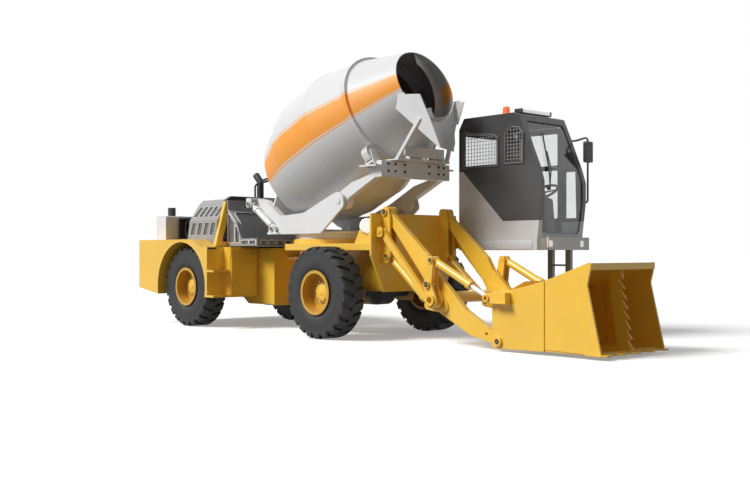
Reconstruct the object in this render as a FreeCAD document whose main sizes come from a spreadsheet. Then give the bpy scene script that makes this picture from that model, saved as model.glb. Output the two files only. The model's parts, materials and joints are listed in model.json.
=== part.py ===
"""Self-loading concrete mixer: articulated carrier, slewing and tilting drum, front loader bucket.

Millimetres. X points forward to the bucket, Y to the left, Z up. Sizes are given from the front
axle's middle on the ground; every node is moved at the end so that the origin is the middle of
the machine's floor rectangle.
"""
import FreeCAD, Part
import math
import os
import re

from FreeCAD import Placement, Rotation, Vector

doc = FreeCAD.newDocument("SelfLoadingMixer")
sheet = doc.addObject("Spreadsheet::Sheet", "Sizes")

SIZES = {
    # overall frame of reference
    "centre_x": -165, "centre_y": 297.5, "wheelbase": 2805, "rear_end_x": -3930, "body_half_width": 1115,
    # wheels
    "tyre_radius": 537.5, "tyre_width": 320, "wheel_offset": 874.5, "rim_radius": 259,
    "rim_bore": 232, "rim_half_width": 163, "rim_wall": 8, "hub_radius": 118, "hub_face": 52,
    "axle_radius": 85, "axle_centre_radius": 170, "axle_centre_half": 190,
    # front frame
    "frame_half_width": 420, "frame_bottom": 330, "frame_top": 1030, "frame_plate": 20,
    "deck_thick": 80, "deck_half_width": 700, "deck_rear_x": -1050, "tail_half_width": 260,
    "kingpin_x": -1450, "kingpin_radius": 45, "lug_thick": 40, "lug_low_z": 360, "lug_high_z": 950,
    "lug_gap": 6, "column_rear_x": -1850, "column_front_x": -1610,
    # portal that carries the loader
    "portal_x": 610, "portal_thick": 30, "portal_top": 1450, "portal_bottom": 550,
    "cheek_thick": 28, "cheek_in": 404, "cheek_reach": 130,
    "cheek_low": 880,
    # loader
    "boom_pivot_x": 655, "boom_pivot_z": 1465, "arm_in": 440, "arm_thick": 60,
    "crank_pivot_x": 1440, "crank_pivot_z": 657, "bucket_pivot_x": 2370, "bucket_pivot_z": 100,
    "link_drop": 225, "link_rear_x": 670, "lift_base_x": 680, "lift_base_z": 961,
    "lift_eye_x": 1330, "lift_eye_z": 430, "tilt_base_x": 1485, "tilt_base_z": 920,
    "tilt_eye_x": 2280, "tilt_eye_z": 540, "rod_radius": 25,
    "side_play": 6, "outer_plane": 583, "link_thick": 50,
    "crank_plate": 22, "cross_tube_radius": 62, "cross_tube_x": 1500, "cross_tube_z": 500,
    # bucket
    "bucket_half_width": 550, "bucket_plate": 20, "bucket_rear_x": 2285, "bucket_front_x": 3605,
    "bucket_bottom": 40, "bucket_back_x": 2500, "bucket_lip_x": 3492, "bucket_lip_z": 905,
    "tooth_reach": 60, "tooth_count": 5,
    # slewing platform and drum
    "slew_x": -750, "slew_radius": 610, "slew_bore_radius": 470, "deck_top": 1110,
    "slew_ring_height": 60, "slew_gap": 0.3, "platform_z": 1235, "platform_thick": 25,
    "cradle_in": 600, "cradle_thick": 30, "tilt_pivot_x": -60, "tilt_pivot_z": 1620,
    "drum_angle": 22.8, "mouth_x": 770, "mouth_z": 2960,
    "mouth_radius": 440, "ring_s": 636, "ring_radius": 706, "ring_width": 70, "ring_proud": 22,
         "head_depth": 165,
    "seam_s": 1220, "seam_radius": 866, "barrel_s": 1748, "barrel_radius": 874,
    "shoulder_s": 1939, "shoulder_radius": 846, "end_s": 2395, "end_radius": 682,
    "drum_wall": 8, "roller_radius": 95, "roller_width": 100, "roller_angle": 42,
    "frame_beam_in": 470, "frame_beam_thick": 90, "front_beam_x": 630, "front_beam_low": 1872,
    "front_beam_high": 2062,
    # drum tilting cylinders
    "jack_plane": 615, "jack_base_x": -1340, "jack_base_z": 1305, "jack_eye_x": -1850,
    "jack_eye_z": 1640,
    # rear body
    "rear_top": 1180, "rear_low": 414, "step_x": -2150, "arch_radius": 605, "fender_in": 620,
    "fender_front_x": -1985, "hood_front_x": -2290, "nose_half": 710, "nose_front_x": -1590,
         "nose_low": 1086,
    "nose_shelf": 1184, "nose_wall": 16, "hood_rear_x": -3050, "hood_low": 1180,
    "hood_high": 1735, "hood_half_low": 850, "hood_half_high": 660, "hood_wall": 25,
    # cab
    "cab_right_y": 700, "cab_left_y": 1545, "cab_rear_x": 659, "cab_floor": 1033,
    "cab_wall": 35, "door_hinge_x": 842, "door_hinge_y": 1560, "cab_top": 2630, "cab_split": 1371,
}

for row, (alias, value) in enumerate(SIZES.items(), start=1):
    sheet.set("A%d" % row, alias)
    sheet.set("B%d" % row, str(value))
    sheet.setAlias("B%d" % row, alias)
doc.recompute()


class Sizes:
    """Reads a size from the sheet by its alias."""

    def __getattr__(self, alias):
        return float(getattr(sheet, alias))


S = Sizes()


def bind(owner, prop, text):
    """Binds a property to an expression of sheet aliases."""
    names = re.sub(r"[a-z]\w*", lambda m: "Sizes." + m.group() if m.group() in SIZES else m.group(), text)
    owner.setExpression(prop, names)


# ---------------------------------------------------------------- outlines
def outline(*corners):
    """Closed outline through corners (x, y) or (x, y, radius), each radius a tangent arc."""
    pts = [Vector(c[0], c[1], 0) for c in corners]
    radii = [c[2] if len(c) > 2 else 0 for c in corners]
    count = len(pts)
    starts, ends, arcs = [], [], []
    for i, corner in enumerate(pts):
        back = (pts[i - 1] - corner).normalize()
        ahead = (pts[(i + 1) % count] - corner).normalize()
        if not radii[i]:
            starts.append(corner)
            ends.append(corner)
            arcs.append(None)
            continue
        half = back.getAngle(ahead) / 2
        run = radii[i] / math.tan(half)
        middle = corner + (back + ahead).normalize() * (radii[i] / math.sin(half) - radii[i])
        starts.append(corner + back * run)
        ends.append(corner + ahead * run)
        arcs.append(middle)
    edges = []
    for i in range(count):
        if arcs[i] is not None:
            edges.append(Part.Arc(starts[i], arcs[i], ends[i]))
        nxt = (i + 1) % count
        if ends[i].distanceToPoint(starts[nxt]) > 1e-6:
            edges.append(Part.LineSegment(ends[i], starts[nxt]))
    return edges


def circle(x, y, radius):
    """Round outline."""
    return [Part.Circle(Vector(x, y, 0), Vector(0, 0, 1), radius)]


def strap(*discs):
    """Outline of a band pulled round discs (x, y, radius) given anticlockwise."""
    tangents = []
    count = len(discs)
    for i in range(count):
        x1, y1, r1 = discs[i]
        x2, y2, r2 = discs[(i + 1) % count]
        gap = math.hypot(x2 - x1, y2 - y1)
        normal = math.atan2(y2 - y1, x2 - x1) - math.acos((r1 - r2) / gap)
        tangents.append(normal)
    edges = []
    for i in range(count):
        x, y, radius = discs[i]
        first, last = tangents[i - 1], tangents[i]
        while last < first:
            last += 2 * math.pi

        def at(angle):
            return Vector(x + radius * math.cos(angle), y + radius * math.sin(angle), 0)

        edges.append(Part.Arc(at(first), at((first + last) / 2), at(last)))
        x2, y2, r2 = discs[(i + 1) % count]
        end = Vector(x2 + r2 * math.cos(tangents[i]), y2 + r2 * math.sin(tangents[i]), 0)
        edges.append(Part.LineSegment(at(last), end))
    return edges


# ---------------------------------------------------------------- features
def new_body(label):
    body = doc.addObject("PartDesign::Body", label)
    body.Label = label
    body.AllowCompound = True
    return body


def new_sketch(body, role, at, loops):
    """Sketch on the body's own origin plane, moved along its normal by the expression `at`."""
    drawing = body.newObject("Sketcher::SketchObject", body.Name + "_sketch")
    plane = [f for f in body.Origin.OriginFeatures if f.Role == role + "_Plane"][0]
    drawing.AttachmentSupport = (plane, [""])
    drawing.MapMode = "FlatFace"
    if at:
        bind(drawing, "AttachmentOffset.Base.z", at)
    for loop in loops:
        drawing.addGeometry(loop, False)
    return drawing


def pad(body, role, at, thick, *loops):
    """Adds the outlines from `at`, by `thick` along the plane's normal (XZ: towards -Y)."""
    feature = body.newObject("PartDesign::Pad", body.Name + "_pad")
    feature.Profile = new_sketch(body, role, at, loops)
    bind(feature, "Length", thick)
    return feature


def pad_mid(body, role, thick, *loops, at=""):
    """Adds the outlines, half of `thick` to each side of the plane."""
    feature = pad(body, role, at, thick, *loops)
    feature.SideType = "Symmetric"
    return feature


def pocket(body, role, at, thick, *loops):
    """Cuts the outlines from `at`, by `thick` along the plane's normal (XZ: towards -Y)."""
    doc.recompute()
    feature = body.newObject("PartDesign::Pocket", body.Name + "_pocket")
    feature.Profile = new_sketch(body, role, at, loops)
    bind(feature, "Length", thick)
    feature.Reversed = True
    return feature


def pocket_mid(body, role, thick, *loops, at=""):
    feature = pocket(body, role, at, thick, *loops)
    feature.Reversed = False
    feature.SideType = "Symmetric"
    return feature


def turn(body, role, *loops, cutting=False):
    """Revolves the outlines about the sketch's horizontal axis."""
    kind = "PartDesign::Groove" if cutting else "PartDesign::Revolution"
    feature = body.newObject(kind, body.Name + "_turned")
    drawing = new_sketch(body, role, "", loops)
    feature.Profile = drawing
    feature.ReferenceAxis = (drawing, ["H_Axis"])
    feature.Angle = 360
    return feature


NODES = {}


def node(label, *pieces, mirrored=False, fused=False):
    """Makes a node of one or more pieces, and of their mirror images where asked."""
    parts = list(pieces)
    for number, piece in enumerate(pieces):
        piece.Label = "%s_piece%d" % (label, number + 1)
    if mirrored:
        for piece in pieces:
            image = doc.addObject("Part::Mirroring", piece.Name + "_left")
            image.Source = piece
            image.Normal = Vector(0, 1, 0)
            parts.append(image)
    if fused:
        parts = [joined(label + "_joined", *parts)]
    owner = doc.addObject("Part::Compound", label)
    owner.Links = parts
    owner.Label = label
    bind(owner, "Placement.Base.x", "-centre_x")
    bind(owner, "Placement.Base.y", "-centre_y")
    NODES[label] = owner
    return owner


def joined(name, *pieces):
    """Joins pieces into one solid."""
    fuse = doc.addObject("Part::MultiFuse", name)
    fuse.Shapes = list(pieces)
    return fuse


def tube(points, radius, bend, name="Tube", bore=0):
    """Round bar or pipe along a line through points, its corners bent to the given radius."""
    pts = [Vector(*p) for p in points]
    edges = []
    start = pts[0]
    for i in range(1, len(pts) - 1):
        back = (pts[i - 1] - pts[i]).normalize()
        ahead = (pts[i + 1] - pts[i]).normalize()
        half = back.getAngle(ahead) / 2
        run = bend / math.tan(half)
        middle = pts[i] + (back + ahead).normalize() * (bend / math.sin(half) - bend)
        first, last = pts[i] + back * run, pts[i] + ahead * run
        edges += [Part.LineSegment(start, first).toShape(), Part.Arc(first, middle, last).toShape()]
        start = last
    edges.append(Part.LineSegment(start, pts[-1]).toShape())
    spine = Part.Wire(edges)
    normal = (pts[1] - pts[0]).normalize()
    solids = []
    for size in (radius, bore):
        if size:
            ring = Part.Wire(Part.Edge(Part.Circle(pts[0], normal, size)))
            solids.append(spine.makePipeShell([ring], True, True))
    piece = doc.addObject("Part::Feature", name)
    piece.Shape = solids[0].cut(solids[1]) if bore else solids[0]
    return piece


def inset(points, depth):
    """Outline moved inwards by a depth, for corners given anticlockwise."""
    moved = []
    count = len(points)
    for i in range(count):
        before, here, after = (Vector(points[k % count][0], points[k % count][1], 0) for k in (i - 1, i,
            i + 1))
        one = (here - before).normalize()
        two = (after - here).normalize()
        n1, n2 = Vector(-one.y, one.x, 0), Vector(-two.y, two.x, 0)
        shift = (n1 + n2) * (depth / (1 + n1.dot(n2)))
        moved.append((here.x + shift.x, here.y + shift.y))
    return moved


# ---------------------------------------------------------------- wheels
def make_tyre(label):
    half = S.tyre_width / 2
    r_out, r_in = S.tyre_radius, S.rim_bore + 0.3
    body = new_body(label)
    turn(body, "YZ", outline(
        (-half * 0.75, r_in), (half * 0.75, r_in), (half, r_in + 95, 60), (half * 0.97, r_out - 45, 30),
        (half * 0.8, r_out, 25), (-half * 0.8, r_out, 25), (-half * 0.97, r_out - 45, 30),
        (-half, r_in + 95, 60)))
    return body


def make_rim(label):
    """Deep-dished rim, outboard face towards +Y."""
    half, wall, bore = S.rim_half_width, S.rim_wall, S.rim_bore
    body = new_body(label)
    disc = S.hub_face - 45
    turn(body, "YZ", outline(
        (half, bore - wall), (half, S.rim_radius), (half - 12, S.rim_radius), (half - 22, bore),
        (-half + 22, bore), (-half + 12, S.rim_radius), (-half, S.rim_radius), (-half, bore - wall),
        (disc - 10, bore - wall), (disc - 10, S.axle_radius + 20), (-half + 10, S.axle_radius + 20),
        (-half + 10, 0), (S.hub_face, 0), (S.hub_face, S.hub_radius - 12), (S.hub_face - 12, S.hub_radius),
        (disc + 12, S.hub_radius), (disc + 12, bore - wall)))
    return body


for axle, axle_x in (("front", 0), ("rear", -S.wheelbase)):
    for side, sign in (("left", 1), ("right", -1)):
        spin = Rotation(Vector(0, 0, 1), 0 if sign > 0 else 180)
        for kind, maker in (("tyre", make_tyre), ("rim", make_rim)):
            wheel = maker("%s_%s_%s" % (kind, axle, side))
            wheel.Placement = Placement(Vector(axle_x, sign * S.wheel_offset, S.tyre_radius), spin)
            node(wheel.Label, wheel)


def make_axle(label, x):
    """Drive axle housing with its middle gear case, between the two hubs."""
    body = new_body(label)
    reach = S.wheel_offset - S.rim_half_width + 9.7
    turn(body, "YZ", outline(
        (-reach, 0), (reach, 0), (reach, S.axle_radius), (S.axle_centre_half, S.axle_radius, 30),
        (S.axle_centre_half * 0.6, S.axle_centre_radius, 40),
        (-S.axle_centre_half * 0.6, S.axle_centre_radius, 40),
        (-S.axle_centre_half, S.axle_radius, 30), (-reach, S.axle_radius)))
    body.Placement = Placement(Vector(x, 0, S.tyre_radius), Rotation())
    return node(label, body)


make_axle("front_axle", 0)
make_axle("rear_axle", -S.wheelbase)


# ---------------------------------------------------------------- front frame
def make_front_frame():
    body = new_body("front_frame_body")
    # side plates with an arch over the axle
    saddle = S.tyre_radius - S.axle_radius - 45
    side = outline((S.deck_rear_x, S.frame_bottom, 60), (-450, S.frame_bottom, 60), (-300, S.portal_bottom,
        60),
                   (-175, S.portal_bottom, 20), (-140, saddle, 30), (140, saddle, 30),
                   (175, S.portal_bottom, 20),
                   (S.portal_x - 30, S.portal_bottom), (S.portal_x - 30, S.frame_top), (S.deck_rear_x,
                       S.frame_top))
    seat = circle(0, S.tyre_radius, S.axle_radius + 0.3)
    pad(body, "XZ", "frame_half_width - frame_plate", "frame_plate", side, seat)
    pad(body, "XZ", "-frame_half_width", "frame_plate", side, seat)
    # deck
    pad(body, "XY", "frame_top", "deck_thick", outline(
        (S.deck_rear_x, -S.deck_half_width, 60), (S.portal_x - 30, -S.deck_half_width),
        (S.portal_x - 30, S.deck_half_width), (S.deck_rear_x, S.deck_half_width, 60)))
    # rear cross plate and tail lugs for the kingpins
    pad(body, "YZ", "deck_rear_x", "frame_plate", outline(
        (-S.frame_half_width, S.frame_bottom), (S.frame_half_width, S.frame_bottom),
        (S.frame_half_width, S.frame_top), (-S.frame_half_width, S.frame_top)))
    lug = outline((S.deck_rear_x + 5, -S.tail_half_width - 100), (S.kingpin_x, -110, 100),
                  (S.kingpin_x - 110, -50, 80),
                  (S.kingpin_x - 110, 50, 80), (S.kingpin_x, 110, 100), (S.deck_rear_x + 5,
                      S.tail_half_width + 100))
    for z in ("lug_low_z", "lug_high_z"):
        pad(body, "XY", z, "lug_thick", lug)
    # front portal plate
    pad(body, "YZ", "portal_x - portal_thick", "portal_thick", outline(
        (-500, S.portal_bottom), (500, S.portal_bottom), (S.deck_half_width, S.frame_top - 60),
        (S.deck_half_width, S.portal_top), (-S.deck_half_width, S.portal_top), (-S.deck_half_width,
            S.frame_top - 60)))
    # kingpin bores
    pocket(body, "XY", "lug_low_z - 1", "lug_thick + 2", circle(S.kingpin_x, 0, S.kingpin_radius + 0.05))
    pocket(body, "XY", "lug_high_z - 1", "lug_thick + 2", circle(S.kingpin_x, 0, S.kingpin_radius + 0.05))
    # cheeks that hold the boom, the lift cylinder and the level link
    x0, x1 = S.portal_x, S.portal_x + S.cheek_reach
    cheek = outline((x0 - 5, S.cheek_low), (x1 - 40, S.cheek_low, 30), (x1, S.lift_base_z, 60),
                    (x1, S.boom_pivot_z - 60, 60), (S.boom_pivot_x + 55, S.boom_pivot_z + 62, 50),
                    (S.boom_pivot_x - 50, S.boom_pivot_z + 62, 50), (x0 - 5, S.portal_top - 20))
    pad(body, "XZ", "cheek_in", "cheek_thick", cheek)
    pad(body, "XZ", "arm_in + arm_thick + side_play", "cheek_thick", cheek)
    pad(body, "XZ", "-cheek_in - cheek_thick", "cheek_thick", cheek)
    pad(body, "XZ", "-arm_in - arm_thick - side_play - cheek_thick", "cheek_thick", cheek)
    # slots that the boom's lugs turn in
    pocket(body, "YZ", "portal_x - portal_thick - 10", "portal_thick + 12", *[
        outline((side * (S.cheek_in + S.cheek_thick), 1360),
                (side * (S.arm_in + S.arm_thick + S.side_play), 1360),
                (side * (S.arm_in + S.arm_thick + S.side_play), 1500),
                (side * (S.cheek_in + S.cheek_thick), 1500))
        for side in (1, -1)])
    # outboard ear of the level link
    z = z_link = S.boom_pivot_z - S.link_drop
    ear = outline((x0 - 5, z - 60), (S.link_rear_x + 50, z - 60, 40), (S.link_rear_x + 50, z + 55, 45),
                  (S.link_rear_x - 45, z + 55, 45), (x0 - 5, z))
    pad(body, "XZ", "outer_plane + link_thick / 2 + side_play", "crank_plate", ear)
    pad(body, "XZ", "-outer_plane - link_thick / 2 - side_play - crank_plate", "crank_plate", ear)
    # pins of the boom, the lift cylinder and the level link
    for side in (1, -1):
        for x, z, radius, near, far in (
                (S.boom_pivot_x, S.boom_pivot_z, 30, S.cheek_in - 14, S.arm_in + S.arm_thick
                 + S.cheek_thick + 18),
                (S.lift_base_x, S.lift_base_z, 22, S.cheek_in - 10, S.arm_in + S.arm_thick + S.cheek_thick
                 + 14),
                (S.link_rear_x, z_link, 22, S.arm_in + S.arm_thick + 12, S.outer_plane + S.link_thick / 2
                 + 40)):
            pad(body, "XZ", "%g" % (near if side > 0 else -far), "%g" % (far - near), circle(x, z, radius))
    # beam that carries the cab, and the work lamp's bracket
    pad(body, "YZ", "portal_x - 55", "cab_rear_x - portal_x + 54.7", outline(
        (S.deck_half_width - 10, 1050), (1450, 1050), (1450, 1200), (S.deck_half_width - 10, 1200)))
    pad(body, "XZ", "deck_half_width - 65", "20", outline((265, S.deck_top - 5), (570, S.deck_top - 5),
                                                          (560, 1222.7),
                                                          (400, 1222.7), (393, 1263), (350, 1263)))
    return node("front_frame", body)


make_front_frame()


# ---------------------------------------------------------------- rear frame
def make_rear_frame():
    body = new_body("rear_frame_body")
    w = S.frame_half_width
    saddle = S.tyre_radius - S.axle_radius - 45
    side = outline((S.rear_end_x + 40, 440), (-S.wheelbase - 175, 440), (-S.wheelbase - 140, saddle, 30),
                   (-S.wheelbase + 140, saddle, 30), (-S.wheelbase + 175, 440), (-2350, 420, 60),
                   (-2200, 313, 60),
                   (S.column_rear_x + 20, 313), (S.column_rear_x + 20, 1060), (S.rear_end_x + 40, 1060))
    seat = circle(-S.wheelbase, S.tyre_radius, S.axle_radius + 0.3)
    pad(body, "XZ", "frame_half_width - frame_plate", "frame_plate", side, seat)
    pad(body, "XZ", "-frame_half_width", "frame_plate", side, seat)
    pad(body, "XY", "1040", "20", outline((S.rear_end_x + 40, -w), (S.column_rear_x + 20, -w),
                                          (S.column_rear_x + 20, w), (S.rear_end_x + 40, w)),
        outline((-3010, -w + 70), (-3010, w - 70), (-2310, w - 70), (-2310, -w + 70)))
    pad(body, "YZ", "rear_end_x + 20", "30", outline((-w, 440), (w, 440), (w, 1060), (-w, 1060)))
    pad(body, "YZ", "column_rear_x", "column_front_x - column_rear_x", outline(
        (-w, 303, 30), (w, 303, 30), (w, 1060), (-w, 1060)))
    lug = outline((S.column_front_x - 5, -220), (S.kingpin_x, -105, 90), (S.kingpin_x + 105, -50, 80),
                  (S.kingpin_x + 105, 50, 80), (S.kingpin_x, 105, 90), (S.column_front_x - 5, 220))
    for z in ("lug_low_z + lug_thick + lug_gap", "lug_high_z - lug_thick - lug_gap"):
        pad(body, "XY", z, "lug_thick", lug)
    # towing jaw at the rear, with an upright pin bore
    pad(body, "XY", "570", "100", outline((S.rear_end_x - 65, -60, 25), (S.rear_end_x + 25, -60),
                                          (S.rear_end_x + 25, 60),
                                          (S.rear_end_x - 65, 60, 25)))
    pocket_mid(body, "XZ", "200", outline((S.rear_end_x - 66, 600), (S.rear_end_x, 600), (S.rear_end_x,
        640),
                                          (S.rear_end_x - 66, 640)))
    pocket(body, "XY", "569", "102", circle(S.rear_end_x - 25, 0, 21))
    # kingpins stand in the rear lugs and reach through the front ones
    for z in ("lug_low_z - 15", "lug_high_z - lug_thick - lug_gap - 15"):
        pad(body, "XY", z, "2 * lug_thick + lug_gap + 30", circle(S.kingpin_x, 0, S.kingpin_radius))
    return node("rear_frame", body)


make_rear_frame()


def make_rear_fenders():
    body = new_body("rear_fender_body")
    wall = outline((S.rear_end_x, 504), (-3365, 421), (-2805, 421), (S.step_x, S.rear_low),
                   (S.step_x, S.rear_top - 105), (-2340, S.rear_top - 98), (-2565, S.rear_top),
                   (S.rear_end_x, S.rear_top, 25))
    pad(body, "XZ", "frame_half_width + 0.3", "body_half_width - frame_half_width - 0.3", wall)
    # step box ahead of the wheel
    pad(body, "YZ", "step_x", "fender_front_x - step_x", outline(
        (-860, S.rear_low), (-S.frame_half_width - 0.3, S.rear_low), (-S.frame_half_width - 0.3,
                                                                      S.rear_top - 105),
        (-860, S.rear_top - 105)))
    for z in (S.rear_low, 745):
        pad(body, "XY", "%g" % z, "30", outline((S.step_x - 5, -S.body_half_width),
                                                (-2000, -S.body_half_width, 20),
                                                (-2000, -855), (S.step_x - 5, -855)))
    pocket(body, "XZ", "fender_in + 40", "body_half_width", circle(-S.wheelbase, S.tyre_radius,
                                                                   S.arch_radius))
    pocket(body, "XZ", "frame_half_width - 1", "fender_in", outline(
        (-S.wheelbase - 150, 300), (-S.wheelbase + 150, 300), (-S.wheelbase + 150, 690, 60),
                                                                    (-S.wheelbase - 150, 690, 60)))
    # fixed leaves of the locker's hinges
    for z in (530, 970):
        pad(body, "XY", "%g" % (z - 10), "40", outline((S.fender_front_x - 5, -857), (-1962, -857),
                                                       (-1962, -867),
                                                      (S.fender_front_x - 5, -867)))
        pad(body, "XY", "%g" % (z - 10), "40", circle(-1962, -862, 9))
    return node("rear_fenders", body, mirrored=True)


make_rear_fenders()


def make_hood():
    """Engine cover: a tapered shell open below, with louvre windows."""
    low, high, lo, hi = S.hood_half_low, S.hood_half_high, S.hood_low, S.hood_high
    knee = lo + 260
    knee_half = low - 30
    body = new_body("engine_hood_body")
    section = outline((-low, lo), (low, lo), (knee_half, knee), (high, hi - 60, 40), (high - 60, hi, 40),
                      (-high + 60, hi, 40), (-high, hi - 60, 40), (-knee_half, knee))
    w = S.hood_wall
    inner = outline((-low + w, lo), (low - w, lo), (knee_half - w, knee), (high - w, hi - 70),
                    (high - 70, hi - w), (-high + 70, hi - w), (-high + w, hi - 70), (-knee_half + w, knee))
    pad(body, "YZ", "hood_rear_x", "hood_front_x - hood_rear_x - 60", section)
    pocket(body, "YZ", "hood_rear_x - 1", "hood_front_x - hood_rear_x - 60 - hood_wall", inner)
    skirt = outline((-2555, lo + 1), (S.hood_front_x - 60, lo - 88), (S.hood_front_x - 60, lo + 10),
                    (-2555, lo + 10))
    pad(body, "XZ", "hood_half_low - hood_wall", "hood_wall", skirt)
    pad(body, "XZ", "-hood_half_low", "hood_wall", skirt)
    for row_low, row_high, count in ((lo + 60, lo + 230, 4), (lo + 310, lo + 450, 5)):
        pitch = 640 / count
        slots = [outline((S.hood_rear_x + 60 + i * pitch, row_low, 12),
                         (S.hood_rear_x + 30 + (i + 0.8) * pitch, row_low, 12),
                         (S.hood_rear_x + 60 + (i + 0.8) * pitch, row_high, 12),
                         (S.hood_rear_x + 90 + i * pitch, row_high, 12))
                 for i in range(count)]
        pocket_mid(body, "XZ", "3 * hood_half_low", *slots)
    return node("engine_hood", body)


make_hood()


def make_hood_frame():
    low, high, lo, hi = S.hood_half_low, S.hood_half_high, S.hood_low - 92, S.hood_high
    body = new_body("hood_frame_body")
    pad(body, "YZ", "hood_front_x - 59.7", "59.7", outline(
        (-low - 40, lo), (low + 40, lo), (high + 60, hi - 20, 60), (high - 20, hi + 30, 40),
        (-high + 20, hi + 30, 40), (-high - 60, hi - 20, 60)))
    pocket(body, "YZ", "hood_front_x - 61", "63", outline(
        (-low + 60, lo + 60, 30), (low - 60, lo + 60, 30), (high - 30, hi - 90, 40), (-high + 30, hi - 90,
            40)))
    return node("hood_frame", body)


make_hood_frame()


def make_nose():
    """Low front part of the engine cover: a shell with mesh windows, sloping down to the joint."""
    back, front = S.hood_front_x + 0.3, S.nose_front_x
    half, wall, low, shelf = S.nose_half, S.nose_wall, S.nose_low, S.nose_shelf
    top = S.hood_high - 35
    side = [(back, low), (front, low), (front, shelf), (-1950, shelf), (-2060, 1400), (-2252, 1575),
            (-2268, top),
            (back, top)]
    body = new_body("hood_nose_body")
    pad_mid(body, "XZ", "2 * nose_half", outline(*side))
    pocket_mid(body, "XZ", "2 * nose_half - 2 * nose_wall", outline(
        (back - 5, low - 5), (front - wall, low - 5), (front - wall, shelf - wall),
                                                                    (-1950 - 14, shelf - wall),
        (-2060 - 12, 1400 - 13), (-2262, 1563), (back - 5, 1563)))
    # side windows between upright posts, the front slope's window and the row of small ones
    pocket_mid(body, "XZ", "2 * nose_half + 20", outline(
        (back + 35, low + 50, 15), (-2115, low + 50, 15), (-2115, 1405, 15), (-2235, 1515, 15),
                                                         (back + 35, 1515)), outline(
        (-2080, low + 50, 12), (-1995, low + 50, 12), (-1995, 1250, 10), (-2080, 1375, 10)), outline(
        (-1940, low + 22, 10), (-1790, low + 22, 10), (-1790, shelf - 24, 10), (-1940, shelf - 24, 10)),
               outline(
        (-1760, low + 22, 10), (-1630, low + 22, 10), (-1630, shelf - 24, 10), (-1760, shelf - 24, 10)))
    pocket(body, "YZ", "-2300", "400", outline((-half + 70, 1290, 30), (half - 70, 1290, 30),
                                               (half - 70, 1540, 30),
                                               (-half + 70, 1540, 30)))
    pitch = (2 * half - 80) / 10
    pocket(body, "YZ", "nose_front_x - nose_wall - 5", "nose_wall + 10", *[
        outline((-half + 55 + i * pitch, low + 20, 8), (-half + 30 + (i + 0.85) * pitch, low + 20, 8),
                (-half + 30 + (i + 0.85) * pitch, shelf - 24, 8), (-half + 55 + i * pitch, shelf - 24, 8))
        for i in range(10)])
    return node("hood_nose", body)


make_nose()


def make_engine():
    body = new_body("engine_body")
    pad_mid(body, "XZ", "620", outline((-3005, 760), (-2400, 760), (-2400, 1500, 60), (-2920, 1500, 60),
                                       (-3005, 1400)))
    pad_mid(body, "XZ", "2 * frame_half_width - 2 * frame_plate - 0.6", outline(
        (-2920, 800), (-2480, 800), (-2480, 860), (-2920, 860)))
    return node("engine_block", body)


make_engine()


def make_rear_tanks():
    tank = new_body("rear_tank_body")
    pad_mid(tank, "XZ", "1700", outline((S.rear_end_x + 30, S.rear_top + 0.3), (S.rear_end_x + 290,
        S.rear_top + 0.3),
                                        (S.rear_end_x + 290, S.rear_top + 350, 30), (S.rear_end_x + 30,
                                            S.rear_top + 350, 60)))
    return node("rear_tank", tank)


make_rear_tanks()


def make_cooler():
    """Radiator pack between the tank and the engine cover, with its fan ring, and the tank's filler cap."""
    start, end = S.rear_end_x + 320, S.hood_rear_x - 20
    body = new_body("cooler_body")
    pad_mid(body, "XZ", "1320", outline((start, S.rear_top + 0.3), (end, S.rear_top + 0.3),
                                        (end, S.rear_top + 330, 20),
                                        (start, S.rear_top + 330, 20)))
    middle = (start + end) / 2
    for side in (1, -1):
        pocket(body, "XZ", "%g" % (570 if side > 0 else -661), "91", outline(
            (start + 25, S.rear_top + 25, 12), (end - 25, S.rear_top + 25, 12), (end - 25, S.rear_top
                + 305, 12),
            (start + 25, S.rear_top + 305, 12)))
        pad(body, "XZ", "%g" % (565 if side > 0 else -640), "75", circle(middle, S.rear_top + 165, 128),
            circle(middle, S.rear_top + 165, 118))
        pad(body, "XZ", "%g" % (565 if side > 0 else -625), "60", circle(middle, S.rear_top + 165, 42))
    cap = new_body("filler_cap_body")
    pad(cap, "XY", "rear_top + 350.6", "120", circle(S.rear_end_x + 200, -700, 56))
    return node("cooler_pack", body, cap)


make_cooler()


def make_exhaust():
    stack = tube([(-2400, -80, S.hood_high + 0.3), (-2400, -80, 1990), (-2500, -80, 2085)], 48, 90,
                 "Stack", bore=42)
    return node("exhaust_stack", stack)


make_exhaust()


# ---------------------------------------------------------------- slewing platform
def make_slew_bearing():
    body = new_body("slew_bearing_body")
    pad(body, "XY", "deck_top + 0.3", "slew_ring_height", circle(S.slew_x, 0, S.slew_radius),
        circle(S.slew_x, 0, S.slew_bore_radius))
    return node("slew_bearing", body)


make_slew_bearing()


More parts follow.
